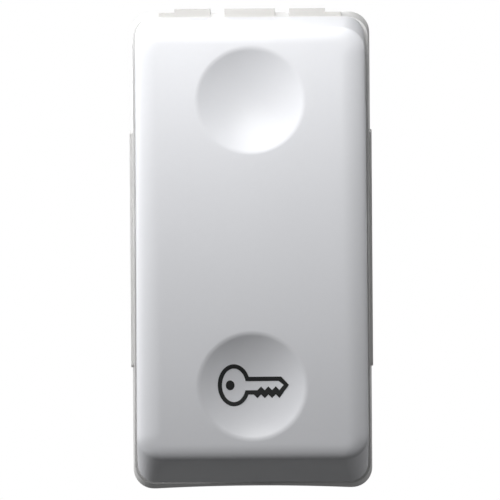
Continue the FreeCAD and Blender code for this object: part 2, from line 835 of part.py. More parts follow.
def make_front_frame():
    """The front frame: drafted flange, collar, well, deck, skirt, tabs, pads and teeth."""
    body, planes = new_body("frame_flange")
    square = planes["XZ_Plane"]
    seat = new_sketch(body, square, "flange_seat")
    rounded_rectangle(seat, "frame_half_width", "frame_half_height", "frame_corner")
    front = new_sketch(body, square, "flange_front", "frame_apex")
    rounded_rectangle(front, "frame_front_half_width", "frame_front_half_height", "frame_corner")
    flange = body.newObject("PartDesign::AdditiveLoft", "flange")
    flange.Profile = seat
    flange.Sections = [front]
    flange.Ruled = True
    fall = "frame_half_height * tan(rest_tilt)"
    notch = side_prism(
        "frame_slopes",
        [
            ("-frame_apex", "0"),
            (f"-frame_apex + {fall}", "frame_half_height"),
            ("-frame_apex - 1", "frame_half_height"),
            ("-frame_apex - 1", "-frame_half_height"),
            (f"-frame_apex + {fall}", "-frame_half_height"),
        ],
        "module_width * 2",
    )
    sloped = cut("sloped_flange", body, notch)
    collar = block(
        "collar", "collar_half_width", "collar_half_height", "collar_corner", "-collar_front", "0",
    )
    skirt = block("skirt", "frame_half_width", "skirt_half_height", "skirt_corner", "0", "skirt_depth")
    solids = [sloped, collar, skirt]
    solids += frame_tabs()
    solids += frame_pads()
    solids += frame_teeth()
    cuts = [
        block(
            "well", "well_half_width", "well_half_height", "collar_corner - collar_wall",
            "-collar_front - 1", "deck_front",
        ),
        centred_box("rear_pocket", "skirt_inner_half_width", ("deck_rear", "skirt_depth + 1"), "skirt_inner_half_height"),
        wide_box(
            "plunger_guide",
            "plunger_width / 2 + guide_fit",
            ("0", "deck_rear + 1"),
            ("-finger_place - plunger_height / 2 - guide_fit", "-finger_place + plunger_height / 2 + guide_fit"),
        ),
        rod(
            "pivot_bore", X_AXIS, "trunnion_radius + pivot_fit",
            ("-trunnion_hole_end", "-pivot_height", "0"), "2 * trunnion_hole_end",
        ),
        rod(
            "bottom_relief", Y_AXIS, "relief_round",
            ("0", "-frame_apex - 1", "relief_depth - frame_half_height - relief_round"), "frame_apex + 2",
        ),
    ]
    cuts += tongue_slots() + bump_windows("window", "bump_gap", "skirt_half_height + 1")
    return [cut("front_frame", fuse("frame_solid", *solids), *cuts)]


def frame_tabs():
    """Three castellated tabs on the top edge, the outer two with a low step."""
    depth = ("-tab_front", "0")
    foot = "frame_half_height - tab_foot"
    top = "frame_half_height + tab_rise"
    tabs = [wide_box("middle_tab", "tab_middle_width / 2", depth, (foot, top))]
    low_top = f"{top} - tab_low_drop"
    for side, sign in (("left", "-"), ("right", "")):
        inner = ("tab_inner_edge", "tab_step") if not sign else ("-tab_step", "-tab_inner_edge")
        outer = ("tab_step", "tab_outer_edge") if not sign else ("-tab_outer_edge", "-tab_step")
        tabs.append(box(side + "_tab", inner, depth, (foot, top)))
        tabs.append(box(side + "_low_tab", outer, depth, (foot, low_top)))
    return tabs


def frame_pads():
    """A slightly proud pad with chamfered ends on each side."""
    pads = []
    for side, sign in (("left", "-"), ("right", "")):
        body, planes = new_body(side + "_pad")
        near = "frame_half_width - 0.3"
        far = "module_width / 2"
        low = near if not sign else f"-({far})"
        sketch = new_sketch(body, planes["YZ_Plane"], side + "_pad_outline", low)
        polygon(sketch, [
            ("-pad_front + pad_chamfer", "-pad_bottom"),
            ("skirt_depth - pad_chamfer", "-pad_bottom"),
            ("skirt_depth", "pad_chamfer - pad_bottom"),
            ("skirt_depth", "pad_top - pad_chamfer"),
            ("skirt_depth - pad_chamfer", "pad_top"),
            ("-pad_front + pad_chamfer", "pad_top"),
            ("-pad_front", "pad_top - pad_chamfer"),
            ("-pad_front", "pad_chamfer - pad_bottom"),
        ])
        pad(body, sketch, f"{far} - ({near})")
        pads.append(body)
    return pads


def frame_teeth():
    """Snap teeth that hold the module behind the support frame's edge."""
    teeth = []
    for end, sign in (("upper", ""), ("lower", "-")):
        teeth.append(side_prism(
            end + "_tooth",
            [
                ("support_thickness", f"{sign}(skirt_half_height - 0.3)"),
                ("support_thickness", f"{sign}(skirt_half_height + tooth_rise)"),
                ("support_thickness + 0.5", f"{sign}(skirt_half_height + tooth_rise)"),
                ("support_thickness + tooth_length", f"{sign}skirt_half_height"),
                ("support_thickness + tooth_length", f"{sign}(skirt_half_height - 0.3)"),
            ],
            "tooth_width",
        ))
    return teeth


def tongue_slots():
    """Slots on each side of the springy tongues that carry the teeth."""
    slots = []
    for end, sign in (("upper", ""), ("lower", "-")):
        span = ("skirt_inner_half_height - 1", "skirt_half_height + 1")
        span = span if not sign else tuple(f"-({edge})" for edge in reversed(span))
        for side, direction in (("left", "-"), ("right", "")):
            near = "tooth_width / 2 + tongue_slot"
            far = "tooth_width / 2 + 2 * tongue_slot"
            width = (near, far) if not direction else (f"-({far})", f"-({near})")
            slots.append(box(f"{end}_{side}_tongue_slot", width, ("deck_rear + 0.2", "skirt_depth + 1"), span))
    return slots


def bump_windows(word, gap, reach):
    """The four snap bumps of the housing, or the windows that they click into."""
    items = []
    for end, sign in (("upper", ""), ("lower", "-")):
        span = ("spigot_half_height - 0.3", reach)
        span = span if not sign else tuple(f"-({edge})" for edge in reversed(span))
        for side, direction in (("left", "-"), ("right", "")):
            centre = f"{direction}bump_place"
            half = f"(bump_width / 2 + {gap})"
            items.append(box(
                f"{end}_{side}_{word}",
                (f"{centre} - {half}", f"{centre} + {half}"),
                (f"bump_depth - bump_length / 2 - {gap}", f"bump_depth + bump_length / 2 + {gap}"),
                span,
            ))
    return items


def make_plunger():
    """The plunger with its springs, bridge, retainer and moving contacts."""
    low = "-finger_place"
    head = wide_box(
        "plunger_head", "plunger_width / 2", ("plunger_front", "shoulder_front"),
        (f"{low} - plunger_height / 2", f"{low} + plunger_height / 2"),
    )
    shoulder = wide_box(
        "plunger_shoulder", "plunger_width / 2 + shoulder_overlap", ("shoulder_front", "shoulder_rear"),
        (f"{low} - plunger_height / 2 - shoulder_overlap", f"{low} + plunger_height / 2 + shoulder_overlap"),
    )
    stem = rod("plunger_stem", Y_AXIS, "stem_radius", ("0", "shoulder_rear", low), "stem_rear - shoulder_rear")
    pin = rod("spring_pin", Y_AXIS, "spring_pin_radius", ("0", "stem_rear", low), "spring_pin_length")
    plunger = fuse("plunger", head, shoulder, stem, pin)

    plate = wide_box(
        "bridge_plate", "bridge_length / 2", ("bridge_front", "bridge_rear"),
        (f"{low} - bridge_width / 2", f"{low} + bridge_width / 2"),
    )
    holes = [rod("stem_hole", Y_AXIS, "stem_radius + bridge_fit", ("0", "bridge_front - 1", low), "bridge_thickness + 2")]
    contacts = []
    for side, sign in (("left", "-"), ("right", "")):
        spot = f"{sign}contact_place"
        holes.append(rod(
            side + "_rivet_hole", Y_AXIS, "contact_shank_radius + contact_shank_fit",
            (spot, "bridge_front - 1", low), "bridge_thickness + 2",
        ))
        contacts.append(fuse(
            "moving_contact_" + side,
            rod(
                side + "_moving_upset", Y_AXIS, "contact_upset_radius",
                (spot, "bridge_front - contact_upset_height", low), "contact_upset_height",
            ),
            rod(side + "_moving_shank", Y_AXIS, "contact_shank_radius", (spot, "bridge_front", low), "bridge_thickness"),
            rod(
                side + "_moving_head", Y_AXIS, "contact_head_radius",
                (spot, "bridge_rear", low), "contact_head_height - contact_crown_height",
            ),
            cone(
                side + "_moving_crown", Y_AXIS, "contact_head_radius", "contact_crown_radius",
                (spot, "moving_crown - contact_crown_height", low), "contact_crown_height",
            ),
        ))
    bridge = cut("contact_bridge", plate, *holes)

    ring = rod("retainer_ring", Y_AXIS, "retainer_radius", ("0", "bridge_rear", low), "retainer_thickness")
    mouth = wide_box(
        "retainer_mouth_cut", "retainer_mouth / 2", ("bridge_rear - 1", "retainer_rear + 1"),
        (f"{low} - retainer_radius - 1", low),
    )
    groove = rod("retainer_bore", Y_AXIS, "stem_radius", ("0", "bridge_rear - 1", low), "retainer_thickness + 2")
    retainer = cut("bridge_retainer", ring, mouth, groove)

    pressure = coil(
        "contact_spring", "contact_spring_radius", "contact_wire", "contact_spring_turns",
        ("0", "shoulder_rear", low), "contact_spring_length",
    )
    comeback = coil(
        "return_spring", "return_spring_radius", "return_wire", "return_spring_turns",
        ("0", "retainer_rear", low), "return_spring_length",
    )
    return [plunger, bridge, retainer, pressure, comeback] + contacts


def make_strips():
    """The two contact strips and the fixed contacts riveted to them."""
    low = "-finger_place"
    parts = []
    flat = ("strip_front", "floor_front")
    reach = "contact_place + strip_leg_width / 2"
    near = "contact_place - strip_leg_width / 2"
    for end, side in (("upper", "left"), ("lower", "right")):
        sign = "-" if side == "left" else ""
        if end == "upper":
            leg_x = (f"-({reach})", f"-({near})")
            leg_z = (f"{low} - strip_leg_end", "strip_outer")
            head_x = (f"-({reach})", "strip_tail_width / 2")
            head_z = ("strip_outer - strip_head_width", "strip_outer")
            tail_z = ("strip_place", "strip_outer")
        else:
            leg_x = (near, reach)
            leg_z = (f"{low} - strip_leg_end", "strip_head_width - strip_outer")
            head_x = ("-strip_tail_width / 2", reach)
            head_z = ("-strip_outer", "strip_head_width - strip_outer")
            tail_z = ("-strip_outer", "-strip_place")
        spot = f"{sign}contact_place"
        strip = fuse(
            end + "_strip_solid",
            box(end + "_strip_leg", leg_x, flat, leg_z),
            box(end + "_strip_head", head_x, flat, head_z),
            wide_box(end + "_strip_tail", "strip_tail_width / 2", ("strip_front", "cage_rear"), tail_z),
        )
        hole = rod(
            end + "_strip_hole", Y_AXIS, "contact_shank_radius + contact_shank_fit",
            (spot, "strip_front - 1", low), "strip_thickness + 2",
        )
        parts.append(cut("contact_strip_" + end, strip, hole))
        parts.append(fuse(
            "fixed_contact_" + side,
            cone(
                side + "_fixed_crown", Y_AXIS, "contact_crown_radius", "contact_head_radius",
                (spot, "fixed_crown", low), "contact_crown_height",
            ),
            rod(
                side + "_fixed_head", Y_AXIS, "contact_head_radius",
                (spot, "fixed_crown + contact_crown_height", low), "contact_head_height - contact_crown_height",
            ),
            rod(side + "_fixed_shank", Y_AXIS, "contact_shank_radius", (spot, "strip_front", low), "strip_thickness"),
        ))
    return parts


def make_terminal(end):
    """One terminal: the cage, the wire clamp and the screw that presses it."""
    sign = "" if end == "upper" else "-"
    axis = Z_AXIS if end == "upper" else Vector(0, 0, -1)

    def span(inner, outer):
        return (inner, outer) if not sign else (f"-({outer})", f"-({inner})")

    def at(distance):
        return ("0", "cage_middle", f"{sign}({distance})")

    cage = cut(
        "terminal_cage_" + end,
        wide_box(end + "_cage_block", "cage_width / 2", ("cage_front", "cage_rear"), span("cage_inner", "cage_outer")),
        wide_box(
            end + "_cage_opening", "cage_inner_half_width", ("cage_front - 1", "cage_rear + 1"),
            span("strip_place", "thread_inner"),
        ),
        rod(end + "_cage_thread", axis, "screw_radius + screw_fit", at("thread_inner - 1"), "cage_thread_wall + 2"),
    )
    clamp = wide_box(
        "wire_clamp_" + end, "cage_inner_half_width - clamp_side_gap",
        ("cage_front + clamp_side_gap", "cage_rear - clamp_side_gap"), span("wire_outer", "clamp_outer"),
    )
    screw = cut(
        "terminal_screw_" + end,
        fuse(
            end + "_screw_solid",
            rod(end + "_screw_shank", axis, "screw_radius", at("clamp_outer"), "head_inner - clamp_outer"),
            rod(end + "_screw_head", axis, "screw_head_radius", at("head_inner"), "screw_head_height"),
        ),
        box(
            end + "_screw_slot", ("-screw_head_radius - 1", "screw_head_radius + 1"),
            ("cage_middle - screw_slot_width / 2", "cage_middle + screw_slot_width / 2"),
            span("head_outer - screw_slot_depth", "head_outer + 1"),
        ),
    )
    return [cage, clamp, screw]


def make_housing():
    """The rear housing with its spigot, chambers, strip slots and screw holes."""
    trunk = block("housing_trunk", "housing_half_width", "housing_half_height", "housing_corner", "skirt_depth", "housing_rear")
    spigot = centred_box("housing_spigot", "spigot_half_width", ("shoulder_front", "skirt_depth"), "spigot_half_height")
    bumps = bump_windows("bump", "0", "spigot_half_height + bump_rise")
    cuts = [
        centred_box("contact_chamber", "contact_half_width", ("0", "floor_front"), "contact_half_height"),
        rod(
            "spring_seat_hole", Y_AXIS, "spring_seat_radius",
            ("0", "floor_front - 1", "-finger_place"), "spring_seat - floor_front + 1",
        ),
        centred_box("core_pocket", "contact_half_width", ("floor_front + floor_thickness", "housing_rear + 1"), "core_half_height"),
    ]
    for end, sign in (("upper", ""), ("lower", "-")):
        def span(inner, outer):
            return (inner, outer) if not sign else (f"-({outer})", f"-({inner})")
        cuts.append(wide_box(
            end + "_terminal_chamber", "chamber_half_width", ("chamber_front", "housing_rear + 1"),
            span("chamber_inner", "chamber_outer"),
        ))
        cuts.append(wide_box(
            end + "_tail_slot", "strip_tail_width / 2 + strip_slot_gap", ("floor_front - 1", "chamber_front + 1"),
            span("strip_place - strip_slot_gap", "strip_outer + strip_slot_gap"),
        ))
        axis = Z_AXIS if end == "upper" else Vector(0, 0, -1)
        cuts.append(rod(
            end + "_screw_hole", axis, "screw_head_radius + screw_hole_gap",
            ("0", "cage_middle", f"{sign}(chamber_outer - 1)"), "chamber_wall + 2",
        ))
        cuts.append(wide_box(
            end + "_tongue_relief", "tooth_width / 2 + 2 * tongue_slot + 0.4", ("0", "skirt_depth"),
            span("spigot_half_height - tongue_relief", "spigot_half_height + 1"),
        ))
    cuts += peg_set("peg_hole", "peg_radius + peg_fit", "housing_rear - peg_length - 0.2", "peg_length + 1.2")
    cuts += side_panels()
    cuts += both_sides("clip_groove", ("clip_floor", "housing_half_width + 1"),
                       ("clip_front - clip_gap", "housing_rear + 1"), "clip_width / 2 + clip_gap")
    shell = cut("housing_shell", fuse("housing_solid", trunk, spigot, *bumps), *cuts)
    return [fuse("rear_housing", shell, *cover_catches())]


def both_sides(word, x, y, half_height):
    """The same box on the right and, mirrored, on the left."""
    low, high = x
    return [
        box("right_" + word, (low, high), y, (f"-({half_height})", half_height)),
        box("left_" + word, (f"-({high})", f"-({low})"), y, (f"-({half_height})", half_height)),
    ]


def side_panels():
    """Shallow panels that keep the housing's side walls even, two on each side."""
    panels = []
    front = "skirt_depth + panel_margin"
    rear = "panel_outer_y"
    for end, sign in (("upper", ""), ("lower", "-")):
        corner = "panel_corner"
        outline = [
            (front, f"panel_inner_z + {corner}"),
            (front, f"panel_outer_z - {corner}"),
            (f"{front} + {corner}", "panel_outer_z"),
            (f"{rear} - {corner}", "panel_outer_z"),
            (rear, f"panel_outer_z - {corner}"),
            (rear, f"panel_inner_z + {corner}"),
            (f"{rear} - {corner}", "panel_inner_z"),
            (f"{front} + {corner}", "panel_inner_z"),
        ]
        outline = [(y, f"{sign}({z})") for y, z in outline]
        through = side_prism(end + "_panel_through", outline, "housing_width + 2")
        kept = centred_box(end + "_panel_core", "housing_half_width - panel_depth", ("0", "cover_rear"), "housing_half_height + 1")
        panels.append(cut(end + "_side_panels", through, kept))
    return panels


def cover_catches():
    """A ramped catch in each side groove, which holds the cover's clip."""
    catches = []
    crest = "housing_half_width - catch_relief"
    root = "clip_floor - 0.3"
    foot = "clip_floor + 0.2"
    for side, xs in (
        ("right", (root, crest, root, foot)),
        ("left", (f"-({crest})", f"-({root})", f"-({foot})", f"-({root})")),
    ):
        catch = doc.addObject("Part::Wedge", side + "_cover_catch")
        bind(
            catch,
            Xmin=xs[0], Xmax=xs[1], X2min=xs[2], X2max=xs[3],
            Ymin="catch_front", Ymax="catch_front + catch_length",
            Zmin="-catch_width / 2", Zmax="catch_width / 2", Z2min="-catch_width / 2", Z2max="catch_width / 2",
        )
        catches.append(catch)
    return catches


def peg_set(word, radius, start, length):
    """Four locating pegs, or the holes that take them."""
    items = []
    for end, sign in (("upper", ""), ("lower", "-")):
        for side, direction in (("left", "-"), ("right", "")):
            items.append(rod(
                f"{end}_{side}_{word}", Y_AXIS, radius,
                (f"{direction}peg_spacing_x / 2", start, f"{sign}peg_spacing_z / 2"), length,
            ))
    return items


def make_cover():
    """The terminal cover with its plugs, locating pegs and four wire funnels."""
    solids = [
        block("cover_plate", "housing_half_width", "housing_half_height", "housing_corner", "housing_rear", "cover_rear"),
        centred_box(
            "core_plug", "contact_half_width - cover_plug_gap", ("housing_rear - cover_plug_depth", "housing_rear"),
            "core_half_height - cover_plug_gap",
        ),
    ]
    solids += peg_set("peg", "peg_radius", "housing_rear - peg_length", "peg_length")
    solids += both_sides("clip", ("housing_half_width - clip_thickness", "housing_half_width"),
                         ("clip_front", "housing_rear"), "clip_width / 2")
    holes = [wide_box(
        "strip_gauge", "gauge_length / 2", ("cover_rear - gauge_depth", "cover_rear + 1"),
        ("-gauge_width / 2", "gauge_width / 2"),
    )]
    holes += both_sides(
        "clip_window", ("housing_half_width - clip_thickness - 1", "housing_half_width + 1"),
        ("catch_front - clip_gap", "catch_front + catch_length + clip_gap"), "catch_width / 2 + clip_gap",
    )
    for end, sign in (("upper", ""), ("lower", "-")):
        def span(inner, outer):
            return (inner, outer) if not sign else (f"-({outer})", f"-({inner})")
        solids.append(wide_box(
            end + "_plug", "chamber_half_width - cover_plug_gap", ("housing_rear - cover_plug_depth", "housing_rear"),
            span("chamber_inner + cover_plug_gap", "chamber_outer - cover_plug_gap"),
        ))
        for side, direction in (("left", "-"), ("right", "")):
            spot = f"{direction}wire_spacing / 2"
            holes.append(rod(
                f"{end}_{side}_wire_hole", Y_AXIS, "wire_hole_radius",
                (spot, "housing_rear - cover_plug_depth - 1", f"{sign}wire_place"), "cover_thickness + cover_plug_depth + 2",
            ))
            holes.append(cone(
                f"{end}_{side}_wire_funnel", Y_AXIS, "wire_hole_radius", "wire_funnel_radius",
                (spot, "cover_rear - wire_funnel_depth", f"{sign}wire_place"), "wire_funnel_depth",
            ))
    return [cut("terminal_cover", fuse("cover_solid", *solids), *holes)]


def export(pieces):
    """Check every object, then write each piece to its own file."""
    doc.recompute()
    for item in doc.Objects:
        if "Invalid" in item.State or "Error" in item.State:
            raise RuntimeError(f"{item.Name} failed: {item.State}")
    os.makedirs("parts", exist_ok=True)
    for piece in pieces:
        piece.Label = piece.Name
        shape = piece.Shape
        if shape.isNull() or not shape.isValid():
            raise RuntimeError(f"{piece.Label} has no valid shape")
        if len(shape.Solids) != piece_solids(piece.Label):
            raise RuntimeError(f"{piece.Label} is {len(shape.Solids)} solids")
        shape.exportStep(os.path.join("parts", piece.Label + ".step"))
        print(f"{piece.Label}: {shape.Volume:.2f} mm3")


def piece_solids(label):
    """How many solids a piece has: the pictogram's eye is apart from its outline."""
    return 2 if label == "key_symbol" else 1


pieces = make_key() + make_lever() + make_front_frame() + make_plunger() + make_strips()
pieces += make_terminal("upper") + make_terminal("lower") + make_housing() + make_cover()
export(pieces)
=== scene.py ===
"""Looks of a one-module wall-box pushbutton with a rocking white key.

Metres, in the frame of the solid model: X to the right, Z up, and -Y out of the wall
towards the user. The origin is the centre of the module on its seat plane.
"""

from __future__ import annotations

import logging
import math
from dataclasses import dataclass, field
from enum import Enum
from typing import ClassVar

import bmesh
import bpy
from mathutils import Matrix, Quaternion, Vector

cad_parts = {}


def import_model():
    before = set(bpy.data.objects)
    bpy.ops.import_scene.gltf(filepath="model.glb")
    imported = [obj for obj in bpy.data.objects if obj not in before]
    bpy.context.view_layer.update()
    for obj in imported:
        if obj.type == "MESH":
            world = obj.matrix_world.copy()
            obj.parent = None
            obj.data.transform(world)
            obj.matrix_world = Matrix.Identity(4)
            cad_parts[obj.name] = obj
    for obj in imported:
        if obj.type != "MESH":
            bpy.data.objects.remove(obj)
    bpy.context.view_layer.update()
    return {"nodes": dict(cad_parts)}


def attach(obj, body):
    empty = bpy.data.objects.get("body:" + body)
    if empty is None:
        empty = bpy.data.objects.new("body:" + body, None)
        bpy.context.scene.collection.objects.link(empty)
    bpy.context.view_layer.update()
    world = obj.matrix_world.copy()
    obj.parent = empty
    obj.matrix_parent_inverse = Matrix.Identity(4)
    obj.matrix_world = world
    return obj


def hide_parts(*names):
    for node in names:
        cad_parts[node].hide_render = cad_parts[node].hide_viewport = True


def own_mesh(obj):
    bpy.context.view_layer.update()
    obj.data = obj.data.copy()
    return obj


log = logging.getLogger("pushbutton")

Triple = tuple[float, float, float]
Socket = bpy.types.NodeSocket

WHITE = (1.0, 1.0, 1.0, 1.0)
FULL_TURN = 2 * math.pi
MILLIMETRES_PER_METRE = 1000.0

# Vertices closer than this, in metres, are one
MERGE = 1e-7

# The colour sockets of a Mix node, whose other sockets have the same names
MIX_FIRST, MIX_SECOND, MIX_RESULT = 6, 7, 2


class Body(Enum):
    """The bodies that pieces ride on."""

    HOUSING = "housing"
    KEY = "key"
    PLUNGER = "plunger"
    SCREW_UPPER = "screw_upper"
    SCREW_LOWER = "screw_lower"
    CLAMP_UPPER = "clamp_upper"
    CLAMP_LOWER = "clamp_lower"


class End(Enum):
    """The two ends of the module, each with its own terminal."""

    UPPER = "upper"
    LOWER = "lower"


@dataclass(frozen=True)
class Relief:
    """A fine relief: its lumps per metre, its stretch and its depth."""

    scale: float
    stretch: Triple
    depth: float


class Grain(Enum):
    """The ways in which surfaces were made, each with its relief."""

    MOULDED = Relief(1500.0, (1.0, 1.0, 1.0), 0.00001)
    ERODED = Relief(5200.0, (1.0, 1.0, 1.0), 0.00003)
    DRAWN = Relief(1600.0, (1.0, 9.0, 1.0), 0.00001)
    STAMPED = Relief(1500.0, (1.0, 1.0, 6.0), 0.00001)


class NodeGraph:
    """A node tree with short calls for nodes and links."""

    def __init__(self, tree: bpy.types.NodeTree, output: str) -> None:
        """Start an empty tree with an output.

        Args:
            tree: The tree of a material or of the world.
            output: The output node's type after "ShaderNode".
        """
        self.tree = tree
        self.tree.nodes.clear()
        self.output = self.add(output)

    def add(self, kind: str, **values: object) -> bpy.types.Node:
        """Add a node and set its inputs or attributes.

        Args:
            kind: The node's type after "ShaderNode".
            **values: Inputs by name with underscores for spaces, or attributes by name.

        Returns:
            The new node.
        """
        node = self.tree.nodes.new("ShaderNode" + kind)
        for key, value in values.items():
            label = key.replace("_", " ").lower()
            sockets = [socket for socket in node.inputs if socket.name.lower() == label]
            if sockets:
                sockets[0].default_value = value
            else:
                setattr(node, key, value)
        return node

    def link(self, source: Socket, target: Socket) -> None:
        """Join an output to an input."""
        self.tree.links.new(source, target)

    def surface(self, shader: Socket) -> None:
        """Send a shader to the output."""
        self.link(shader, self.output.inputs["Surface"])

    def coordinates(self, scale: Triple = (1.0, 1.0, 1.0)) -> Socket:
        """Object coordinates through a mapping.

        Args:
            scale: The stretch along each axis.

        Returns:
            The mapped vector.
        """
        mapping = self.add("Mapping", Scale=scale)
        self.link(self.add("TexCoord").outputs["Object"], mapping.inputs["Vector"])
        return mapping.outputs["Vector"]

    def noise(self, vector: Socket, scale: float, detail: float) -> Socket:
        """A noise value on mapped coordinates.

        Args:
            vector: The coordinates.
            scale: Lumps per metre.
            detail: Octaves.

        Returns:
            The noise's value.
        """
        node = self.add("TexNoise", Scale=scale, Detail=detail, Roughness=0.55)
        self.link(vector, node.inputs["Vector"])
        return node.outputs[0]

    def ranged(
        self, value: Socket, low: float, high: float, start: float = 0.3, stop: float = 0.7
    ) -> Socket:
        """Map one range of a value to another, and hold it beyond the ends.

        Args:
            value: The value.
            low: The result at the start.
            high: The result at the stop.
            start: Where the range begins, for a noise the start of its middle part.
            stop: Where the range ends.

        Returns:
            The mapped value.
        """
        node = self.add("MapRange", From_Min=start, From_Max=stop, To_Min=low, To_Max=high)
        self.link(value, node.inputs["Value"])
        return node.outputs[0]

    def part(self, vector: Socket, axis: str) -> Socket:
        """One part of a vector.

        Args:
            vector: The vector.
            axis: "X", "Y" or "Z".

        Returns:
            The part along that axis.
        """
        node = self.add("SeparateXYZ")
        self.link(vector, node.inputs[0])
        return node.outputs[axis]

    def compute(self, operation: str, first: Socket, second: Socket | float) -> Socket:
        """Work out a value from two others.

        Args:
            operation: The sum's name in a Math node.
            first: The first value.
            second: The second value, linked or constant.

        Returns:
            The result.
        """
        node = self.add("Math", operation=operation)
        self.link(first, node.inputs[0])
        if isinstance(second, float):
            node.inputs[1].default_value = second
        else:
            self.link(second, node.inputs[1])
        return node.outputs[0]

    def distance(self, vector: Socket, centre: Triple) -> Socket:
        """How far a point is from a centre, in metres.

        Args:
            vector: Object coordinates.
            centre: The centre.

        Returns:
            The distance.
        """
        node = self.add("VectorMath", operation="DISTANCE")
        self.link(vector, node.inputs[0])
        node.inputs[1].default_value = centre
        return node.outputs["Value"]

    def blend(
        self, factor: Socket, first: Socket | Triple, second: Triple, blend_type: str = "MIX"
    ) -> Socket:
        """Blend two colours by a factor.

        Args:
            factor: The blend's factor.
            first: The colour at 0, linked or constant.
            second: The colour at 1.
            blend_type: How the second colour joins the first.

        Returns:
            The blended colour.
        """
        node = self.add("Mix", data_type="RGBA", blend_type=blend_type)
        self.link(factor, node.inputs[0])
        if isinstance(first, tuple):
            node.inputs[MIX_FIRST].default_value = (*first, 1.0)
        else:
            self.link(first, node.inputs[MIX_FIRST])
        node.inputs[MIX_SECOND].default_value = (*second, 1.0)
        return node.outputs[MIX_RESULT]

    def mixed(self, share: Socket, first: Socket, second: Socket) -> Socket:
        """Mix two shaders.

        Args:
            share: The share of the second.
            first: The first shader.
            second: The second shader.

        Returns:
            The mixed shader.
        """
        node = self.add("MixShader")
        for source, target in zip((share, first, second), node.inputs):
            self.link(source, target)
        return node.outputs[0]


def new_material(name: str) -> tuple[bpy.types.Material, NodeGraph]:
    """Make a material with an empty tree.

    Args:
        name: The material's name.

    Returns:
        The material and its tree.
    """
    material = bpy.data.materials.new(name)
    material.use_nodes = True
    return material, NodeGraph(material.node_tree, "OutputMaterial")


def new_object(name: str, data: bpy.types.ID) -> bpy.types.Object:
    """Place an object in the scene, at the origin.

    Args:
        name: The object's name.
        data: Its mesh, lamp or camera.

    Returns:
        The object.
    """
    thing = bpy.data.objects.new(name, data)
    bpy.context.scene.collection.objects.link(thing)
    return thing


def closed_shape(shape: bmesh.types.BMesh) -> bmesh.types.BMesh:
    """Close the open ends of a spun shape and turn its faces outwards.

    Args:
        shape: The shape; it is changed.

    Returns:
        The same shape.
    """
    bmesh.ops.remove_doubles(shape, verts=shape.verts, dist=MERGE)
    bmesh.ops.holes_fill(shape, edges=[edge for edge in shape.edges if edge.is_boundary], sides=0)
    bmesh.ops.recalc_face_normals(shape, faces=shape.faces)
    return shape


@dataclass(frozen=True)
class Finish:
    """A surface: its colour, gloss, fine relief and softened edges.

    The spread is how far the roughness varies, the shade is the tone of the colour's
    clouds, the edge is the radius of softened edges in metres, and relief and wave are
    the strengths of the fine and the slow unevenness. Scales are in lumps per metre.
    """

    name: str
    color: Triple
    roughness: float
    spread: float
    metallic: float = 0.0
    specular: float = 0.5
    grain: Grain = Grain.MOULDED
    relief: float = 0.15
    shade: float = 0.96
    edge: float = 0.00008
    wave: float = 0.1
    wave_depth: ClassVar[float] = 0.00006
    wave_scale: ClassVar[float] = 320.0
    cloud_scale: ClassVar[float] = 110.0
    fleck_scale: ClassVar[float] = 2600.0
    fleck_tone: ClassVar[Triple] = (0.55, 0.55, 0.55)
    patch_scale: ClassVar[float] = 260.0
    streak_scale: ClassVar[float] = 900.0
    streak_stretch: ClassVar[Triple] = (7.0, 1.0, 0.6)

    def material(self) -> bpy.types.Material:
        """Build the finish's material.

        Returns:
            The material.
        """
        material, graph = new_material(self.name)
        shader = graph.add("BsdfPrincipled", Metallic=self.metallic)
        shader.inputs["Specular IOR Level"].default_value = self.specular
        plain = graph.coordinates()
        graph.link(self.tint(graph, plain), shader.inputs["Base Color"])
        graph.link(self.gloss(graph, plain), shader.inputs["Roughness"])
        graph.link(self.bump(graph, plain), shader.inputs["Normal"])
        graph.surface(shader.outputs[0])
        return material

    def tint(self, graph: NodeGraph, plain: Socket) -> Socket:
        """The colour with broad clouds and a fine fleck.

        Args:
            graph: The tree to add to.
            plain: Object coordinates.

        Returns:
            The colour.
        """
        darker = tuple(channel * self.shade for channel in self.color)
        cloud = graph.ranged(graph.noise(plain, self.cloud_scale, detail=3.0), 0.0, 1.0)
        clouded = graph.blend(cloud, self.color, darker)
        flecks = graph.noise(plain, self.fleck_scale, detail=2.0)
        fleck = graph.ranged(flecks, 0.0, 1.0 - self.shade)
        return graph.blend(fleck, clouded, self.fleck_tone, "MULTIPLY")

    def gloss(self, graph: NodeGraph, plain: Socket) -> Socket:
        """The roughness, which varies in patches and, on metal, in fine streaks.

        Args:
            graph: The tree to add to.
            plain: Object coordinates.

        Returns:
            The roughness.
        """
        smooth, rough = self.roughness - self.spread, self.roughness + self.spread
        lumps = graph.noise(plain, self.patch_scale, detail=4.0)
        patches = graph.ranged(lumps, smooth, rough)
        if not self.metallic:
            return patches
        stretched = graph.coordinates(self.streak_stretch)
        streaks = graph.noise(stretched, self.streak_scale, detail=2.0)
        fine = graph.ranged(streaks, -self.spread / 2, self.spread / 2)
        return graph.compute("ADD", patches, fine)

    def bump(self, graph: NodeGraph, plain: Socket) -> Socket:
        """Softened edges, a slow waviness and the fine relief as a normal.

        Args:
            graph: The tree to add to.
            plain: Object coordinates.

        Returns:
            The bumped normal.
        """
        slow = graph.add("Bump", Strength=self.wave, Distance=self.wave_depth)
        graph.link(graph.noise(plain, self.wave_scale, detail=1.0), slow.inputs["Height"])
        if self.edge:
            soft = graph.add("Bevel", samples=4, Radius=self.edge)
            graph.link(soft.outputs[0], slow.inputs["Normal"])
        relief = self.grain.value
        fine = graph.add("Bump", Strength=self.relief, Distance=relief.depth)
        lumps = graph.noise(graph.coordinates(relief.stretch), relief.scale, detail=3.0)
        graph.link(lumps, fine.inputs["Height"])
        graph.link(slow.outputs[0], fine.inputs["Normal"])
        return fine.outputs[0]


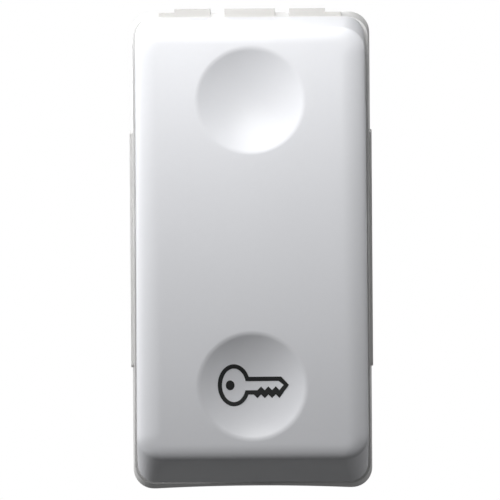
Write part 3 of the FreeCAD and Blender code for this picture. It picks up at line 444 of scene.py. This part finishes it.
@dataclass(frozen=True)
class FingeredFinish(Finish):
    """A satin surface that fingers have polished in round patches.

    The reach is a patch's radius, full is the share of it with the whole polish, and
    the polish is how much lower the roughness is.
    """

    patches: tuple[Triple, ...] = ()
    reach: float = 0.0052
    full: float = 0.6
    polish: float = 0.07

    def gloss(self, graph: NodeGraph, plain: Socket) -> Socket:
        """The roughness, a little lower where fingers press.

        Args:
            graph: The tree to add to.
            plain: Object coordinates.

        Returns:
            The roughness.
        """
        value = super().gloss(graph, plain)
        for centre in self.patches:
            away = graph.distance(plain, centre)
            drop = graph.ranged(away, self.polish, 0.0, self.reach * self.full, self.reach)
            value = graph.compute("SUBTRACT", value, drop)
        return value


@dataclass(frozen=True)
class TabShadedFinish(Finish):
    """A moulded frame with painted shade on the forward faces of its small upright tabs.

    The painted shade comes in between two heights, and between two tilts of the surface,
    given as the part of its normal along Y.
    """

    # Colour of the painted shade on the tabs' forward faces
    painted_tab_shade: Triple = (0.65, 0.64, 0.62)
    tabs_from: float = 0.0216
    tabs_full: float = 0.0218
    turned_from: float = -0.9
    turned_full: float = -0.99

    def tint(self, graph: NodeGraph, plain: Socket) -> Socket:
        """The frame's colour, with painted shade on the forward faces of the tabs.

        Args:
            graph: The tree to add to.
            plain: Object coordinates.

        Returns:
            The colour.
        """
        base = super().tint(graph, plain)
        # Painted shade: the tabs' forward faces are greyed in place of the shade they lie in
        high = graph.ranged(graph.part(plain, "Z"), 0.0, 1.0, self.tabs_from, self.tabs_full)
        facing = graph.part(graph.add("TexCoord").outputs["Normal"], "Y")
        forward = graph.ranged(facing, 0.0, 1.0, self.turned_from, self.turned_full)
        return graph.blend(graph.compute("MULTIPLY", high, forward), base, self.painted_tab_shade)


@dataclass(frozen=True)
class TarnishedMetal(Finish):
    """Bare or plated metal with patches of a second tone."""

    metallic: float = 1.0
    relief: float = 0.1
    wave: float = 0.03
    tarnish: Triple = (0.4, 0.35, 0.3)
    amount: float = 0.2
    tarnish_scale: ClassVar[float] = 420.0
    tarnish_range: ClassVar[tuple[float, float]] = (0.5, 0.72)

    def tint(self, graph: NodeGraph, plain: Socket) -> Socket:
        """The metal's colour with uneven tarnish.

        Args:
            graph: The tree to add to.
            plain: Object coordinates.

        Returns:
            The colour.
        """
        base = super().tint(graph, plain)
        lumps = graph.noise(plain, self.tarnish_scale, detail=5.0)
        spots = graph.ranged(lumps, 0.0, self.amount, *self.tarnish_range)
        return graph.blend(spots, base, self.tarnish)


# Where fingers press: the middles of the key's two dishes at rest
DISH_CENTRES = ((0.0, -0.0119, 0.014), (0.0, -0.0138, -0.0124))

KEY_WHITE = FingeredFinish(
    "satin_white_key", (0.845, 0.854, 0.884), 0.42, 0.035,
    specular=0.35, relief=0.12, shade=0.985, edge=0.0, patches=DISH_CENTRES,
)
# The frame's finish carries painted shade on the forward faces of its tabs
FRAME_WHITE = TabShadedFinish(
    "satin_white_frame_tab_shade", (0.8, 0.798, 0.79), 0.42, 0.05, relief=0.18, shade=0.975,
)
INK = Finish(
    "black_pad_print", (0.008, 0.009, 0.009), 0.5, 0.08, relief=0.4, shade=0.7, edge=0.00001,
)
LEVER_GREY = Finish("moulded_light_grey", (0.66, 0.67, 0.68), 0.5, 0.06, relief=0.3, shade=0.93)
PLUNGER_GREY = Finish("moulded_mid_grey", (0.48, 0.49, 0.5), 0.5, 0.06, relief=0.3, shade=0.9)
HOUSING_GREY = Finish(
    "eroded_light_grey", (0.68, 0.68, 0.665), 0.55, 0.07,
    grain=Grain.ERODED, relief=0.35, shade=0.93, edge=0.00015,
)
COVER_GREY = Finish(
    "eroded_grey", (0.6, 0.6, 0.585), 0.57, 0.07,
    grain=Grain.ERODED, relief=0.35, shade=0.92, edge=0.00015,
)
WIRE_STEEL = TarnishedMetal(
    "drawn_spring_steel", (0.62, 0.62, 0.61), 0.28, 0.08,
    grain=Grain.DRAWN, shade=0.92, edge=0.00002, tarnish=(0.4, 0.37, 0.33),
)
CLIP_STEEL = TarnishedMetal(
    "stamped_spring_steel", (0.5, 0.5, 0.51), 0.34, 0.08,
    grain=Grain.STAMPED, shade=0.92, edge=0.00005, tarnish=(0.3, 0.33, 0.4),
)
BRIDGE_COPPER = TarnishedMetal(
    "stamped_copper", (0.78, 0.44, 0.26), 0.32, 0.09,
    grain=Grain.STAMPED, shade=0.9, edge=0.00005, tarnish=(0.42, 0.2, 0.13), amount=0.28,
)
CONTACT_SILVER = TarnishedMetal(
    "headed_silver", (0.82, 0.81, 0.78), 0.3, 0.1,
    relief=0.12, shade=0.93, edge=0.00003, tarnish=(0.5, 0.44, 0.35),
)
STRIP_BRASS = TarnishedMetal(
    "stamped_brass", (0.78, 0.58, 0.27), 0.3, 0.09,
    grain=Grain.STAMPED, shade=0.91, edge=0.00005, tarnish=(0.48, 0.32, 0.14), amount=0.22,
)
CAGE_STEEL = TarnishedMetal(
    "zinc_plated_cage", (0.62, 0.61, 0.58), 0.36, 0.12,
    grain=Grain.STAMPED, relief=0.12, shade=0.91, edge=0.00006,
    tarnish=(0.5, 0.46, 0.34), amount=0.22,
)
SCREW_STEEL = TarnishedMetal(
    "zinc_plated_screw", (0.66, 0.65, 0.6), 0.32, 0.12,
    grain=Grain.DRAWN, relief=0.12, shade=0.9, edge=0.00005,
    tarnish=(0.55, 0.49, 0.33), amount=0.22,
)


class Wardrobe:
    """Makes each finish's material once and hands it out."""

    def __init__(self) -> None:
        """Start with nothing made."""
        self.made: dict[str, bpy.types.Material] = {}

    def dress(self, thing: bpy.types.Object, finish: Finish) -> None:
        """Give an object one finish in place of what it had.

        Args:
            thing: The object.
            finish: The finish.
        """
        if finish.name not in self.made:
            self.made[finish.name] = finish.material()
        thing.data.materials.clear()
        thing.data.materials.append(self.made[finish.name])
        log.info("dressed %s in %s", thing.name, finish.name)


@dataclass
class SubAssembly:
    """Common work of the sub-assemblies: dressing nodes and placing new pieces."""

    nodes: dict[str, bpy.types.Object]
    wardrobe: Wardrobe
    sharp_from: float = 32.0
    finishes: ClassVar[dict[str, Finish]] = {}

    def build(self) -> None:
        """Dress the carried-over nodes and make the new pieces."""
        for name, finish in self.finishes.items():
            self.wardrobe.dress(self.nodes[name], finish)
        self.make_pieces()

    def make_pieces(self) -> None:
        """Make the new pieces, if there are any."""

    def merged_copy(self, node: str) -> bmesh.types.BMesh:
        """A copy of a node's mesh with its loose triangles merged.

        Args:
            node: The node's name.

        Returns:
            The merged mesh, in place.
        """
        shape = bmesh.new()
        shape.from_mesh(self.nodes[node].data)
        bmesh.ops.remove_doubles(shape, verts=shape.verts, dist=MERGE)
        return shape

    def add_piece(
        self,
        name: str,
        shape: bmesh.types.BMesh,
        body: Body,
        finish: Finish,
        slot: str,
        node: str,
        evened: bool = True,
    ) -> bpy.types.Object:
        """Turn a bmesh into a finished piece that stands for a node.

        Args:
            name: The piece's name.
            shape: Its mesh, in place; it is freed.
            body: The body that it rides on.
            finish: Its finish.
            slot: Its slot in the record; not used.
            node: The node that it replaces.
            evened: Whether a modifier evens its normals.

        Returns:
            The piece.
        """
        mesh = bpy.data.meshes.new(name)
        shape.to_mesh(mesh)
        shape.free()
        mesh.shade_smooth()
        mesh.set_sharp_from_angle(angle=math.radians(self.sharp_from))
        piece = new_object(name, mesh)
        if evened:
            weighted = piece.modifiers.new("even_normals", "WEIGHTED_NORMAL")
            weighted.mode = "FACE_AREA_WITH_ANGLE"
            weighted.keep_sharp = True
        self.wardrobe.dress(piece, finish)
        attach(piece, body.value)
        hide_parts(node)
        log.info("made %s on %s", name, body.value)
        return piece


@dataclass
class RockingKey(SubAssembly):
    """The key cap with its soft elliptic edge, the pictogram and the lever under it.

    The sizes are the solid key's own, in the key's untipped frame. Of its rounding the
    mesh keeps a share of the depth, edge_drop, and gains a share of width, side_stretch,
    along the sides. The two reaches say how far in from the wall the edge goes, and how
    far out from its middle a dish does. The last five are slacks, the last in degrees,
    within which a point or a corner counts as lying on a surface.
    """

    pivot: float = -0.0015
    tilt: float = 4.0
    face_apex: float = 0.01147
    crown_radius: float = 0.4
    face_half: tuple[float, float] = (0.01039, 0.019356)
    face_corner: float = 0.0023
    spread: tuple[float, float] = (0.0002095, 0.0021436)
    corner_growth: float = -0.0006
    key_depth: float = 0.008
    edge_round: float = 0.00185
    edge_drop: float = 0.5
    edge_reach: float = 0.0019
    side_stretch: float = 0.22
    dish_place: float = 0.0132
    dish_radius: float = 0.0048
    dish_depth: float = 0.0011
    dish_reach: float = 0.00515
    closeness: float = 0.000004
    wall_slack: float = 0.00002
    round_slack: float = 0.00003
    rim_slack: float = 0.00005
    turned_away: float = 30.0
    finishes: ClassVar[dict[str, Finish]] = {"key_symbol": INK, "rocker_lever": LEVER_GREY}

    def make_pieces(self) -> None:
        """Make the key cap from the solid's own shape, with the edge drawn out to an ellipse."""
        shape = self.merged_copy("key_cap")
        known = [self.true_normal(vert.co) for vert in shape.verts]
        rim = [self.inward(vert.co)[0] > self.key_depth - self.rim_slack for vert in shape.verts]
        for vert in shape.verts:
            vert.co = self.softened(vert.co)
        shell = self.add_piece(
            "key_cap_shell", shape, Body.KEY, KEY_WHITE, "key_plastic", "key_cap", evened=False
        )
        self.apply_normals(shell.data, known, rim)

    def own(self, point: Vector) -> tuple[float, float]:
        """Depth and height of a point in the key's own, untipped frame.

        Args:
            point: A point of the key at rest.

        Returns:
            The depth, from front to back, and the height.
        """
        cosine = math.cos(math.radians(self.tilt))
        sine = math.sin(math.radians(self.tilt))
        ahead = point.y - self.pivot
        return ahead * cosine - point.z * sine, ahead * sine + point.z * cosine

    def tipped(self, across: float, depth: float, height: float) -> Vector:
        """Turn a direction from the key's own frame to its tipped rest.

        Args:
            across: Its part along X.
            depth: Its part from front to back.
            height: Its part upwards.

        Returns:
            The direction at rest.
        """
        cosine = math.cos(math.radians(self.tilt))
        sine = math.sin(math.radians(self.tilt))
        return Vector((across, depth * cosine + height * sine, height * cosine - depth * sine))

    def face(self, height: float) -> float:
        """How far forward the crowned face stands.

        Args:
            height: The height on the key.

        Returns:
            The depth coordinate of the face.
        """
        return self.crown_radius - self.face_apex - math.sqrt(self.crown_radius**2 - height**2)

    def outline(self, fall: float) -> Triple:
        """The key's outline at one level behind the face.

        Args:
            fall: The level, from the face back.

        Returns:
            Half width, half height and corner radius.
        """
        share = fall / self.key_depth
        return (
            self.face_half[0] + self.spread[0] * share,
            self.face_half[1] + self.spread[1] * share,
            self.face_corner + self.corner_growth * share,
        )

    def inward(self, point: Vector) -> tuple[float, float, tuple[float, float]]:
        """Where a point lies on the key's wall or edge.

        Args:
            point: A point of the key at rest.

        Returns:
            How far it is behind the face, how far inside the wall, and the
            wall's outward direction across and upwards.
        """
        depth, height = self.own(point)
        fall = depth - self.face(height)
        half_width, half_height, corner = self.outline(fall)
        out_x = abs(point.x) - (half_width - corner)
        out_z = abs(height) - (half_height - corner)
        if out_x > 0 and out_z > 0:
            reach = math.hypot(out_x, out_z)
            return fall, corner - reach, (out_x / reach, out_z / reach)
        if out_x > out_z:
            return fall, corner - out_x, (1.0, 0.0)
        return fall, corner - out_z, (0.0, 1.0)

    def in_dish(self, point: Vector, height: float) -> bool:
        """Whether a point lies in a dish or in the rounding of its rim.

        Args:
            point: A point of the key at rest.
            height: Its height on the key.

        Returns:
            True within the dish's reach.
        """
        return math.hypot(point.x, abs(height) - self.dish_place) < self.dish_reach

    def stretch(self, lean: tuple[float, float]) -> float:
        """How much wider the edge rounding is made.

        Args:
            lean: The wall's outward direction.

        Returns:
            The factor.
        """
        return 1.0 + self.side_stretch * lean[0] ** 2

    def softened(self, point: Vector) -> Vector:
        """Move a point of the rounded edge so that the rounding is wide and shallow.

        Args:
            point: A point of the key at rest.

        Returns:
            The moved point, or the same one off the edge.
        """
        height = self.own(point)[1]
        fall, inside, lean = self.inward(point)
        behind = fall > self.edge_round + self.wall_slack
        if behind or inside > self.edge_reach or self.in_dish(point, height):
            return point
        fall *= self.edge_drop
        inside *= self.stretch(lean)
        half_width, half_height, corner = self.outline(fall)
        across = abs(point.x)
        along = abs(height)
        if lean[0]:
            across = half_width - corner + lean[0] * (corner - inside)
        if lean[1]:
            along = half_height - corner + lean[1] * (corner - inside)
        across = math.copysign(across, point.x)
        along = math.copysign(along, height)
        return self.tipped(across, self.face(along) + fall, along) + Vector((0.0, self.pivot, 0.0))

    def true_normal(self, point: Vector) -> Vector | None:
        """The exact normal at a point of the solid key's outer surface.

        Args:
            point: A point of the solid key at rest.

        Returns:
            The normal, or None off the face, the dishes, the walls and their edge.
        """
        depth, height = self.own(point)
        # Each dish is cut by a ball whose middle lies in front of the face
        place = math.copysign(self.dish_place, height)
        ball = (self.dish_radius**2 + self.dish_depth**2) / (2 * self.dish_depth)
        front = self.face(self.dish_place) + self.dish_depth - ball
        towards = Vector((-point.x, front - depth, place - height))
        below = depth - self.face(height)
        if abs(towards.length - ball) < self.closeness and below > self.closeness:
            return self.tipped(*towards.normalized())
        if abs(below) < self.closeness:
            back = self.crown_radius - self.face_apex
            return self.tipped(*Vector((0.0, depth - back, height)).normalized())
        if self.in_dish(point, height):
            return None
        return self.wall_normal(point)

    def wall_normal(self, point: Vector) -> Vector | None:
        """The exact normal of the walls and of their rounding, after softening.

        Args:
            point: A point of the solid key at rest.

        Returns:
            The normal, or None off those surfaces.
        """
        height = self.own(point)[1]
        fall, inside, lean = self.inward(point)
        growth = self.corner_growth
        growth += sum(part * (side - self.corner_growth) for part, side in zip(lean, self.spread))
        slope = growth / self.key_depth
        draft = math.atan(slope)
        tangent = self.edge_round * math.tan((math.pi / 2 - draft) / 2)
        if fall >= tangent * math.cos(draft) - self.closeness:
            # Behind the rounding the wall leans outwards by its draft
            if abs(inside) > self.wall_slack:
                return None
            out, ahead = math.cos(draft), -math.sin(draft)
        else:
            # In the rounding, the circle's normal is stretched as its points are
            middle = self.edge_round * (1.0 - math.sin(draft)) / math.cos(draft)
            along = inside - fall * slope - middle
            back = fall - self.edge_round
            off = abs(math.hypot(along, back) - self.edge_round)
            if off > self.round_slack or along > self.closeness:
                return None
            wide = self.stretch(lean)
            out = -self.edge_drop * along
            ahead = wide * back - (wide - self.edge_drop) * slope * along
        across = math.copysign(lean[0] * out, point.x)
        upward = math.copysign(lean[1] * out, height)
        return self.tipped(*Vector((across, ahead, upward)).normalized())

    def apply_normals(
        self, mesh: bpy.types.Mesh, known: list[Vector | None], rim: list[bool]
    ) -> None:
        """Give the outer surface its exact normals and leave the rest as it is.

        Args:
            mesh: The key's mesh.
            known: The exact normal of each vertex, where there is one.
            rim: Whether each vertex lies on the flat back rim.
        """
        least = math.cos(math.radians(self.turned_away))
        normals = [tuple(corner.vector) for corner in mesh.corner_normals]
        for polygon in mesh.polygons:
            outer = all(known[index] for index in polygon.vertices)
            outer = outer and not all(rim[index] for index in polygon.vertices)
            for loop in polygon.loop_indices:
                exact = known[mesh.loops[loop].vertex_index]
                if exact is not None and (outer or exact.dot(polygon.normal) > least):
                    normals[loop] = tuple(exact)
        mesh.normals_split_custom_set(normals)


@dataclass
class FrontFrame(SubAssembly):
    """The frame round the key, with its tabs, pads and snap teeth."""

    finishes: ClassVar[dict[str, Finish]] = {"front_frame": FRAME_WHITE}


@dataclass
class RearHousing(SubAssembly):
    """The housing behind the frame and its terminal cover."""

    finishes: ClassVar[dict[str, Finish]] = {
        "rear_housing": HOUSING_GREY,
        "terminal_cover": COVER_GREY,
    }


@dataclass
class Coil:
    """A compression spring along Y with closed ends.

    The radius is that of its middle line, the wire its thickness, front and rear are
    where its ends lie, and height is that of its axis. Each closed end has a number of
    turns, and rises by a share of the wire's width.
    """

    radius: float
    wire: float
    front: float
    rear: float
    height: float
    turns: float
    closed: float = 0.75
    closed_rise: float = 0.35
    ring: int = 12
    steps: int = 36

    def shape(self) -> bmesh.types.BMesh:
        """Wind the spring.

        Returns:
            Its mesh, in place.
        """
        shape = bmesh.new()
        start = Matrix.Translation((self.radius, self.front + self.wire / 2, self.height))
        bmesh.ops.create_circle(shape, segments=self.ring, radius=self.wire / 2, matrix=start)
        last = list(shape.verts) + list(shape.edges)
        span = self.rear - self.front - self.wire
        slow = self.wire * self.closed_rise
        ends = (self.closed, slow)
        for turns, rise in (ends, (self.turns - 2 * self.closed, span - 2 * slow), ends):
            count = round(self.steps * turns)
            made = bmesh.ops.spin(
                shape,
                geom=last,
                cent=(0.0, 0.0, self.height),
                axis=(0.0, 1.0, 0.0),
                dvec=(0.0, rise / count, 0.0),
                angle=FULL_TURN * turns,
                steps=count,
                use_merge=False,
                use_duplicate=False,
            )
            last = made["geom_last"]
        return closed_shape(shape)


@dataclass
class ContactSet(SubAssembly):
    """Plunger, springs, bridge, rivets and strips."""

    travel: float = 0.0017017
    return_coil: Coil = field(
        default_factory=lambda: Coil(
            radius=0.00205, wire=0.0005, front=0.00993, rear=0.01557, height=-0.013, turns=5.0
        )
    )
    pressure_coil: Coil = field(
        default_factory=lambda: Coil(
            radius=0.0023, wire=0.00045, front=0.00423, rear=0.00837, height=-0.013, turns=3.5
        )
    )
    finishes: ClassVar[dict[str, Finish]] = {
        "plunger": PLUNGER_GREY,
        "bridge_retainer": CLIP_STEEL,
        "contact_bridge": BRIDGE_COPPER,
        "moving_contact_left": CONTACT_SILVER,
        "moving_contact_right": CONTACT_SILVER,
        "fixed_contact_left": CONTACT_SILVER,
        "fixed_contact_right": CONTACT_SILVER,
        "contact_strip_upper": STRIP_BRASS,
        "contact_strip_lower": STRIP_BRASS,
    }

    def make_pieces(self) -> None:
        """Wind both springs, and give the return spring a mesh of its own."""
        coil = self.return_coil
        spring = self.add_piece(
            "return_coil", coil.shape(), Body.HOUSING, WIRE_STEEL, "spring_steel", "return_spring"
        )
        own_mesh(spring)
        winding = self.pressure_coil.shape()
        self.add_piece(
            "pressure_coil", winding, Body.PLUNGER, WIRE_STEEL, "spring_steel", "contact_spring"
        )


@dataclass
class TerminalSet(SubAssembly):
    """Cages, pressure plates and screws of both terminals.

    The screw's sizes are for the upper end; dome holds points of the head's edge, as the
    way in from its rim and down from its crest.
    """

    middle: float = 0.0215
    tip: float = 0.0128
    neck: float = 0.0174
    crest: float = 0.0189
    shank: float = 0.0015
    head: float = 0.0026
    tip_chamfer: float = 0.0002
    neck_chamfer: float = 0.0001
    dome: tuple[tuple[float, float], ...] = (
        (0.0, 0.0004), (0.00008, 0.00022), (0.0003, 0.0001), (0.0009, 0.00003),
    )
    sides: int = 47
    slot_width: float = 0.0008
    slot_depth: float = 0.0008
    pitch: float = 0.0005
    thread_turns: float = 7.0
    thread_steps: int = 36
    thread_depth: float = 0.00018
    thread_root: float = 0.00005
    thread_top: float = 0.00002
    thread_start: tuple[float, float] = (0.0003, 0.0008)
    thread_land: tuple[float, float] = (0.00052, 0.00058)
    ridge_pitch: float = 0.0007
    ridge_depth: float = 0.00012
    plate_edge: float = 0.00008
    flat_within: float = 1.0
    square_from: float = 50.0
    level: float = 1e-6
    finishes: ClassVar[dict[str, Finish]] = {
        "terminal_cage_upper": CAGE_STEEL,
        "terminal_cage_lower": CAGE_STEEL,
    }

    def make_pieces(self) -> None:
        """Turn both screws and stamp both pressure plates."""
        for end, turning, sliding in (
            (End.UPPER, Body.SCREW_UPPER, Body.CLAMP_UPPER),
            (End.LOWER, Body.SCREW_LOWER, Body.CLAMP_LOWER),
        ):
            node = "terminal_screw_" + end.value
            screw = self.screw(end)
            self.add_piece(
                "threaded_screw_" + end.value, screw, turning, SCREW_STEEL, "screw_steel", node
            )
            node = "wire_clamp_" + end.value
            plate = self.plate(node)
            self.add_piece(
                "pressure_plate_" + end.value, plate, sliding, CAGE_STEEL, "cage_steel", node
            )

    def plate(self, node: str) -> bmesh.types.BMesh:
        """A pressure plate with grip ridges across the wire and broken edges.

        Args:
            node: The node that it replaces.

        Returns:
            Its mesh, in place.
        """
        shape = self.merged_copy(node)
        bmesh.ops.dissolve_limit(
            shape, angle_limit=math.radians(self.flat_within), verts=shape.verts, edges=shape.edges
        )
        front = min(vert.co.y for vert in shape.verts)
        rear = max(vert.co.y for vert in shape.verts)
        grip = min(abs(vert.co.z) for vert in shape.verts)
        lines = 2 * round((rear - front) / self.ridge_pitch)
        for line in range(1, lines):
            cut = bmesh.ops.bisect_plane(
                shape,
                geom=list(shape.verts) + list(shape.edges) + list(shape.faces),
                dist=MERGE,
                plane_co=(0.0, front + (rear - front) * line / lines, 0.0),
                plane_no=(0.0, 1.0, 0.0),
            )
            if line % 2 == 0:
                continue
            for part in cut["geom_cut"]:
                if isinstance(part, bmesh.types.BMVert) and abs(part.co.z) - grip < self.level:
                    part.co.z += math.copysign(self.ridge_depth, part.co.z)
        least = math.radians(self.square_from)
        border = [edge for edge in shape.edges if edge.calc_face_angle(0.0) > least]
        bmesh.ops.bevel(
            shape,
            geom=border,
            offset=self.plate_edge,
            segments=2,
            profile=0.5,
            affect="EDGES",
            material=-1,
        )
        return shape

    def screw(self, end: End) -> bmesh.types.BMesh:
        """A screw with a real thread, a domed head and a driver slot.

        Args:
            end: The terminal's end.

        Returns:
            Its mesh, in place.
        """
        core = self.shank - self.thread_depth
        root = core - self.thread_root
        top = self.shank - self.thread_top
        outline = [
            (0.0, self.tip),
            (core - self.tip_chamfer, self.tip),
            (core, self.tip + self.tip_chamfer),
            (core, self.neck),
            (self.head - self.neck_chamfer, self.neck),
            (self.head, self.neck + self.neck_chamfer),
            *((self.head - inset, self.crest - drop) for inset, drop in self.dome),
            (0.0, self.crest),
        ]
        thread = [
            (root, self.tip + self.thread_start[0]),
            (top, self.tip + self.thread_land[0]),
            (top, self.tip + self.thread_land[1]),
            (root, self.tip + self.thread_start[1]),
        ]
        blade = bmesh.new()
        place = Matrix.Translation((0.0, self.middle, self.crest))
        size = Matrix.Diagonal((self.head * 3, self.slot_width, self.slot_depth * 2, 1.0))
        bmesh.ops.create_cube(blade, size=1.0, matrix=place @ size)
        ridge = self.turned(
            thread,
            FULL_TURN * self.thread_turns,
            int(self.thread_steps * self.thread_turns),
            self.pitch * self.thread_turns,
        )
        shape = self.turned(outline, FULL_TURN, self.sides, 0.0)
        shape = self.combined(shape, ridge, "UNION")
        shape = self.combined(shape, blade, "DIFFERENCE")
        if end is End.LOWER:
            turn = Matrix.Rotation(math.pi, 3, "Y")
            bmesh.ops.rotate(shape, verts=shape.verts, cent=(0.0, self.middle, 0.0), matrix=turn)
        return shape

    def turned(
        self, outline: list[tuple[float, float]], angle: float, steps: int, climb: float
    ) -> bmesh.types.BMesh:
        """Spin an outline about the screw's axis, level or as a helix.

        Args:
            outline: Pairs of radius and height.
            angle: How far it is spun.
            steps: In how many steps.
            climb: How far it climbs in all.

        Returns:
            The closed mesh.
        """
        shape = bmesh.new()
        verts = [shape.verts.new((radius, self.middle, height)) for radius, height in outline]
        edges = [shape.edges.new(pair) for pair in zip(verts, verts[1:])]
        if climb:
            edges.append(shape.edges.new((verts[-1], verts[0])))
        bmesh.ops.spin(
            shape,
            geom=verts + edges,
            cent=(0.0, self.middle, 0.0),
            axis=(0.0, 0.0, 1.0),
            dvec=(0.0, 0.0, climb / steps),
            angle=angle,
            steps=steps,
            use_merge=not climb,
            use_duplicate=False,
        )
        return closed_shape(shape)

    def combined(
        self, base: bmesh.types.BMesh, tool: bmesh.types.BMesh, operation: str
    ) -> bmesh.types.BMesh:
        """Join two closed shapes into one, or cut the second out of the first.

        Args:
            base: The first shape; it is freed.
            tool: The second shape; it is freed.
            operation: "UNION" or "DIFFERENCE".

        Returns:
            The result, cleaned.
        """
        things = []
        for name, shape in (("screw_base", base), ("screw_tool", tool)):
            mesh = bpy.data.meshes.new(name)
            shape.to_mesh(mesh)
            shape.free()
            things.append(new_object(name, mesh))
        change = things[0].modifiers.new("combine", "BOOLEAN")
        change.operation = operation
        change.solver = "EXACT"
        change.object = things[1]
        ready = things[0].evaluated_get(bpy.context.evaluated_depsgraph_get())
        result = bmesh.new()
        result.from_mesh(ready.to_mesh())
        ready.to_mesh_clear()
        for thing in things:
            bpy.data.objects.remove(thing)
        bmesh.ops.remove_doubles(result, verts=result.verts, dist=MERGE)
        bmesh.ops.recalc_face_normals(result, faces=result.faces)
        log.info("%s leaves %d faces", operation.lower(), len(result.faces))
        return result


@dataclass(frozen=True)
class Lamp:
    """A square soft lamp that points at the module: its place, side and watts."""

    name: str
    place: Triple
    side: float
    power: float

    def hang(self) -> None:
        """Put the lamp in the scene, unseen by the camera."""
        data = bpy.data.lights.new(self.name, "AREA")
        data.size = self.side
        data.energy = self.power
        lamp = new_object(self.name, data)
        lamp.location = self.place
        lamp.visible_camera = False
        lamp.rotation_euler = (-Vector(self.place)).to_track_quat("-Z", "Y").to_euler()


@dataclass
class Studio:
    """Backdrop, floor, lamps and the camera at the photograph's angle.

    The picture width is in pixels, the scale in pixels per millimetre at the target. The
    floor and ambient values are how much light they send back to the object, and mirrored
    is how white the surroundings look in reflections.
    """

    distance: float = 0.300
    azimuth: float = 0.0
    elevation: float = 0.5
    roll: float = -0.42
    target: Triple = (-0.00013, 0.0, 0.00002)
    picture_width: float = 500.0
    scale: float = 10.66
    sensor: float = 36.0
    clip: tuple[float, float] = (0.01, 20.0)
    floor_height: float = -0.075
    floor_reach: float = 1.2
    floor_grey: float = 0.085
    ambient: float = 0.04
    mirrored: float = 0.2
    lamps: tuple[Lamp, ...] = (
        Lamp("upper_softbox", (-0.008, -0.0605, 0.058), 0.038, 0.043),
        Lamp("left_softbox", (-0.24, -0.04, 0.09), 0.16, 0.6),
        Lamp("right_fill", (0.26, -0.12, 0.0), 0.16, 0.09),
        Lamp("rear_fill", (-0.08, 0.32, 0.1), 0.16, 0.5),
        Lamp("side_fill", (0.22, 0.2, 0.03), 0.16, 0.12),
        Lamp("top_fill", (0.0, 0.05, 0.3), 0.16, 0.28),
    )

    def build(self) -> None:
        """Make the whole studio."""
        bpy.context.scene.view_settings.view_transform = "Standard"
        self.camera()
        self.world()
        self.floor()
        for lamp in self.lamps:
            lamp.hang()
        log.info("studio ready")

    def camera(self) -> None:
        """Make the camera at the photograph's place and make it the scene's."""
        data = bpy.data.cameras.new("photo_camera")
        data.sensor_width = self.sensor
        data.sensor_fit = "HORIZONTAL"
        frame_width = self.picture_width / self.scale / MILLIMETRES_PER_METRE
        data.lens = self.sensor * self.distance / frame_width
        data.clip_start, data.clip_end = self.clip
        camera = new_object("photo_camera", data)
        turn = math.radians(self.azimuth)
        lift = math.radians(self.elevation)
        level = Vector((math.sin(turn), -math.cos(turn), 0.0))
        away = level * math.cos(lift) + Vector((0.0, 0.0, math.sin(lift)))
        camera.location = Vector(self.target) + away * self.distance
        roll = Quaternion((0.0, 0.0, 1.0), math.radians(self.roll))
        camera.rotation_euler = ((-away).to_track_quat("-Z", "Y") @ roll).to_euler()
        bpy.context.scene.camera = camera

    def shown(self, graph: NodeGraph) -> Socket:
        """How white the surroundings look.

        They are white to the camera and through clear things, partly so in reflections,
        and not at all as light on the object.

        Args:
            graph: The tree to add to.

        Returns:
            The share of white.
        """
        path = graph.add("LightPath")
        share = graph.compute("MULTIPLY", path.outputs["Is Glossy Ray"], self.mirrored)
        for name in ("Is Camera Ray", "Is Transmission Ray"):
            share = graph.compute("MAXIMUM", share, path.outputs[name])
        return share

    def world(self) -> None:
        """Dim surrounding light that shows white to the camera."""
        world = bpy.data.worlds.new("studio")
        bpy.context.scene.world = world
        world.use_nodes = True
        graph = NodeGraph(world.node_tree, "OutputWorld")
        dim = graph.add("Background", Strength=self.ambient)
        pale = graph.add("Background", Color=WHITE, Strength=1.0)
        graph.surface(graph.mixed(self.shown(graph), dim.outputs[0], pale.outputs[0]))

    def floor(self) -> None:
        """A flat floor, white to the camera, dim in bounces and clear from below."""
        mesh = bpy.data.meshes.new("floor")
        shape = bmesh.new()
        place = Matrix.Translation((0.0, 0.0, self.floor_height))
        bmesh.ops.create_grid(shape, x_segments=1, y_segments=1, size=self.floor_reach, matrix=place)
        shape.to_mesh(mesh)
        shape.free()
        floor = new_object("floor", mesh)
        material, graph = new_material("floor_paper")
        grey = self.floor_grey
        dim = graph.add("BsdfDiffuse", Color=(grey, grey, grey, 1.0))
        pale = graph.add("Emission", Color=WHITE, Strength=1.0)
        paper = graph.mixed(self.shown(graph), dim.outputs[0], pale.outputs[0])
        below = graph.add("NewGeometry").outputs["Backfacing"]
        graph.surface(graph.mixed(below, paper, graph.add("BsdfTransparent").outputs[0]))
        mesh.materials.append(material)


def main() -> None:
    """Build the scene in order."""
    logging.basicConfig(level=logging.INFO, format="%(message)s")
    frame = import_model()
    Studio().build()
    wardrobe = Wardrobe()
    for kind in (RockingKey, FrontFrame, RearHousing, ContactSet, TerminalSet):
        kind(frame["nodes"], wardrobe).build()
        log.info("%s done", kind.__name__)
    log.info("boxes written")


if __name__ == "__main__":
    main()
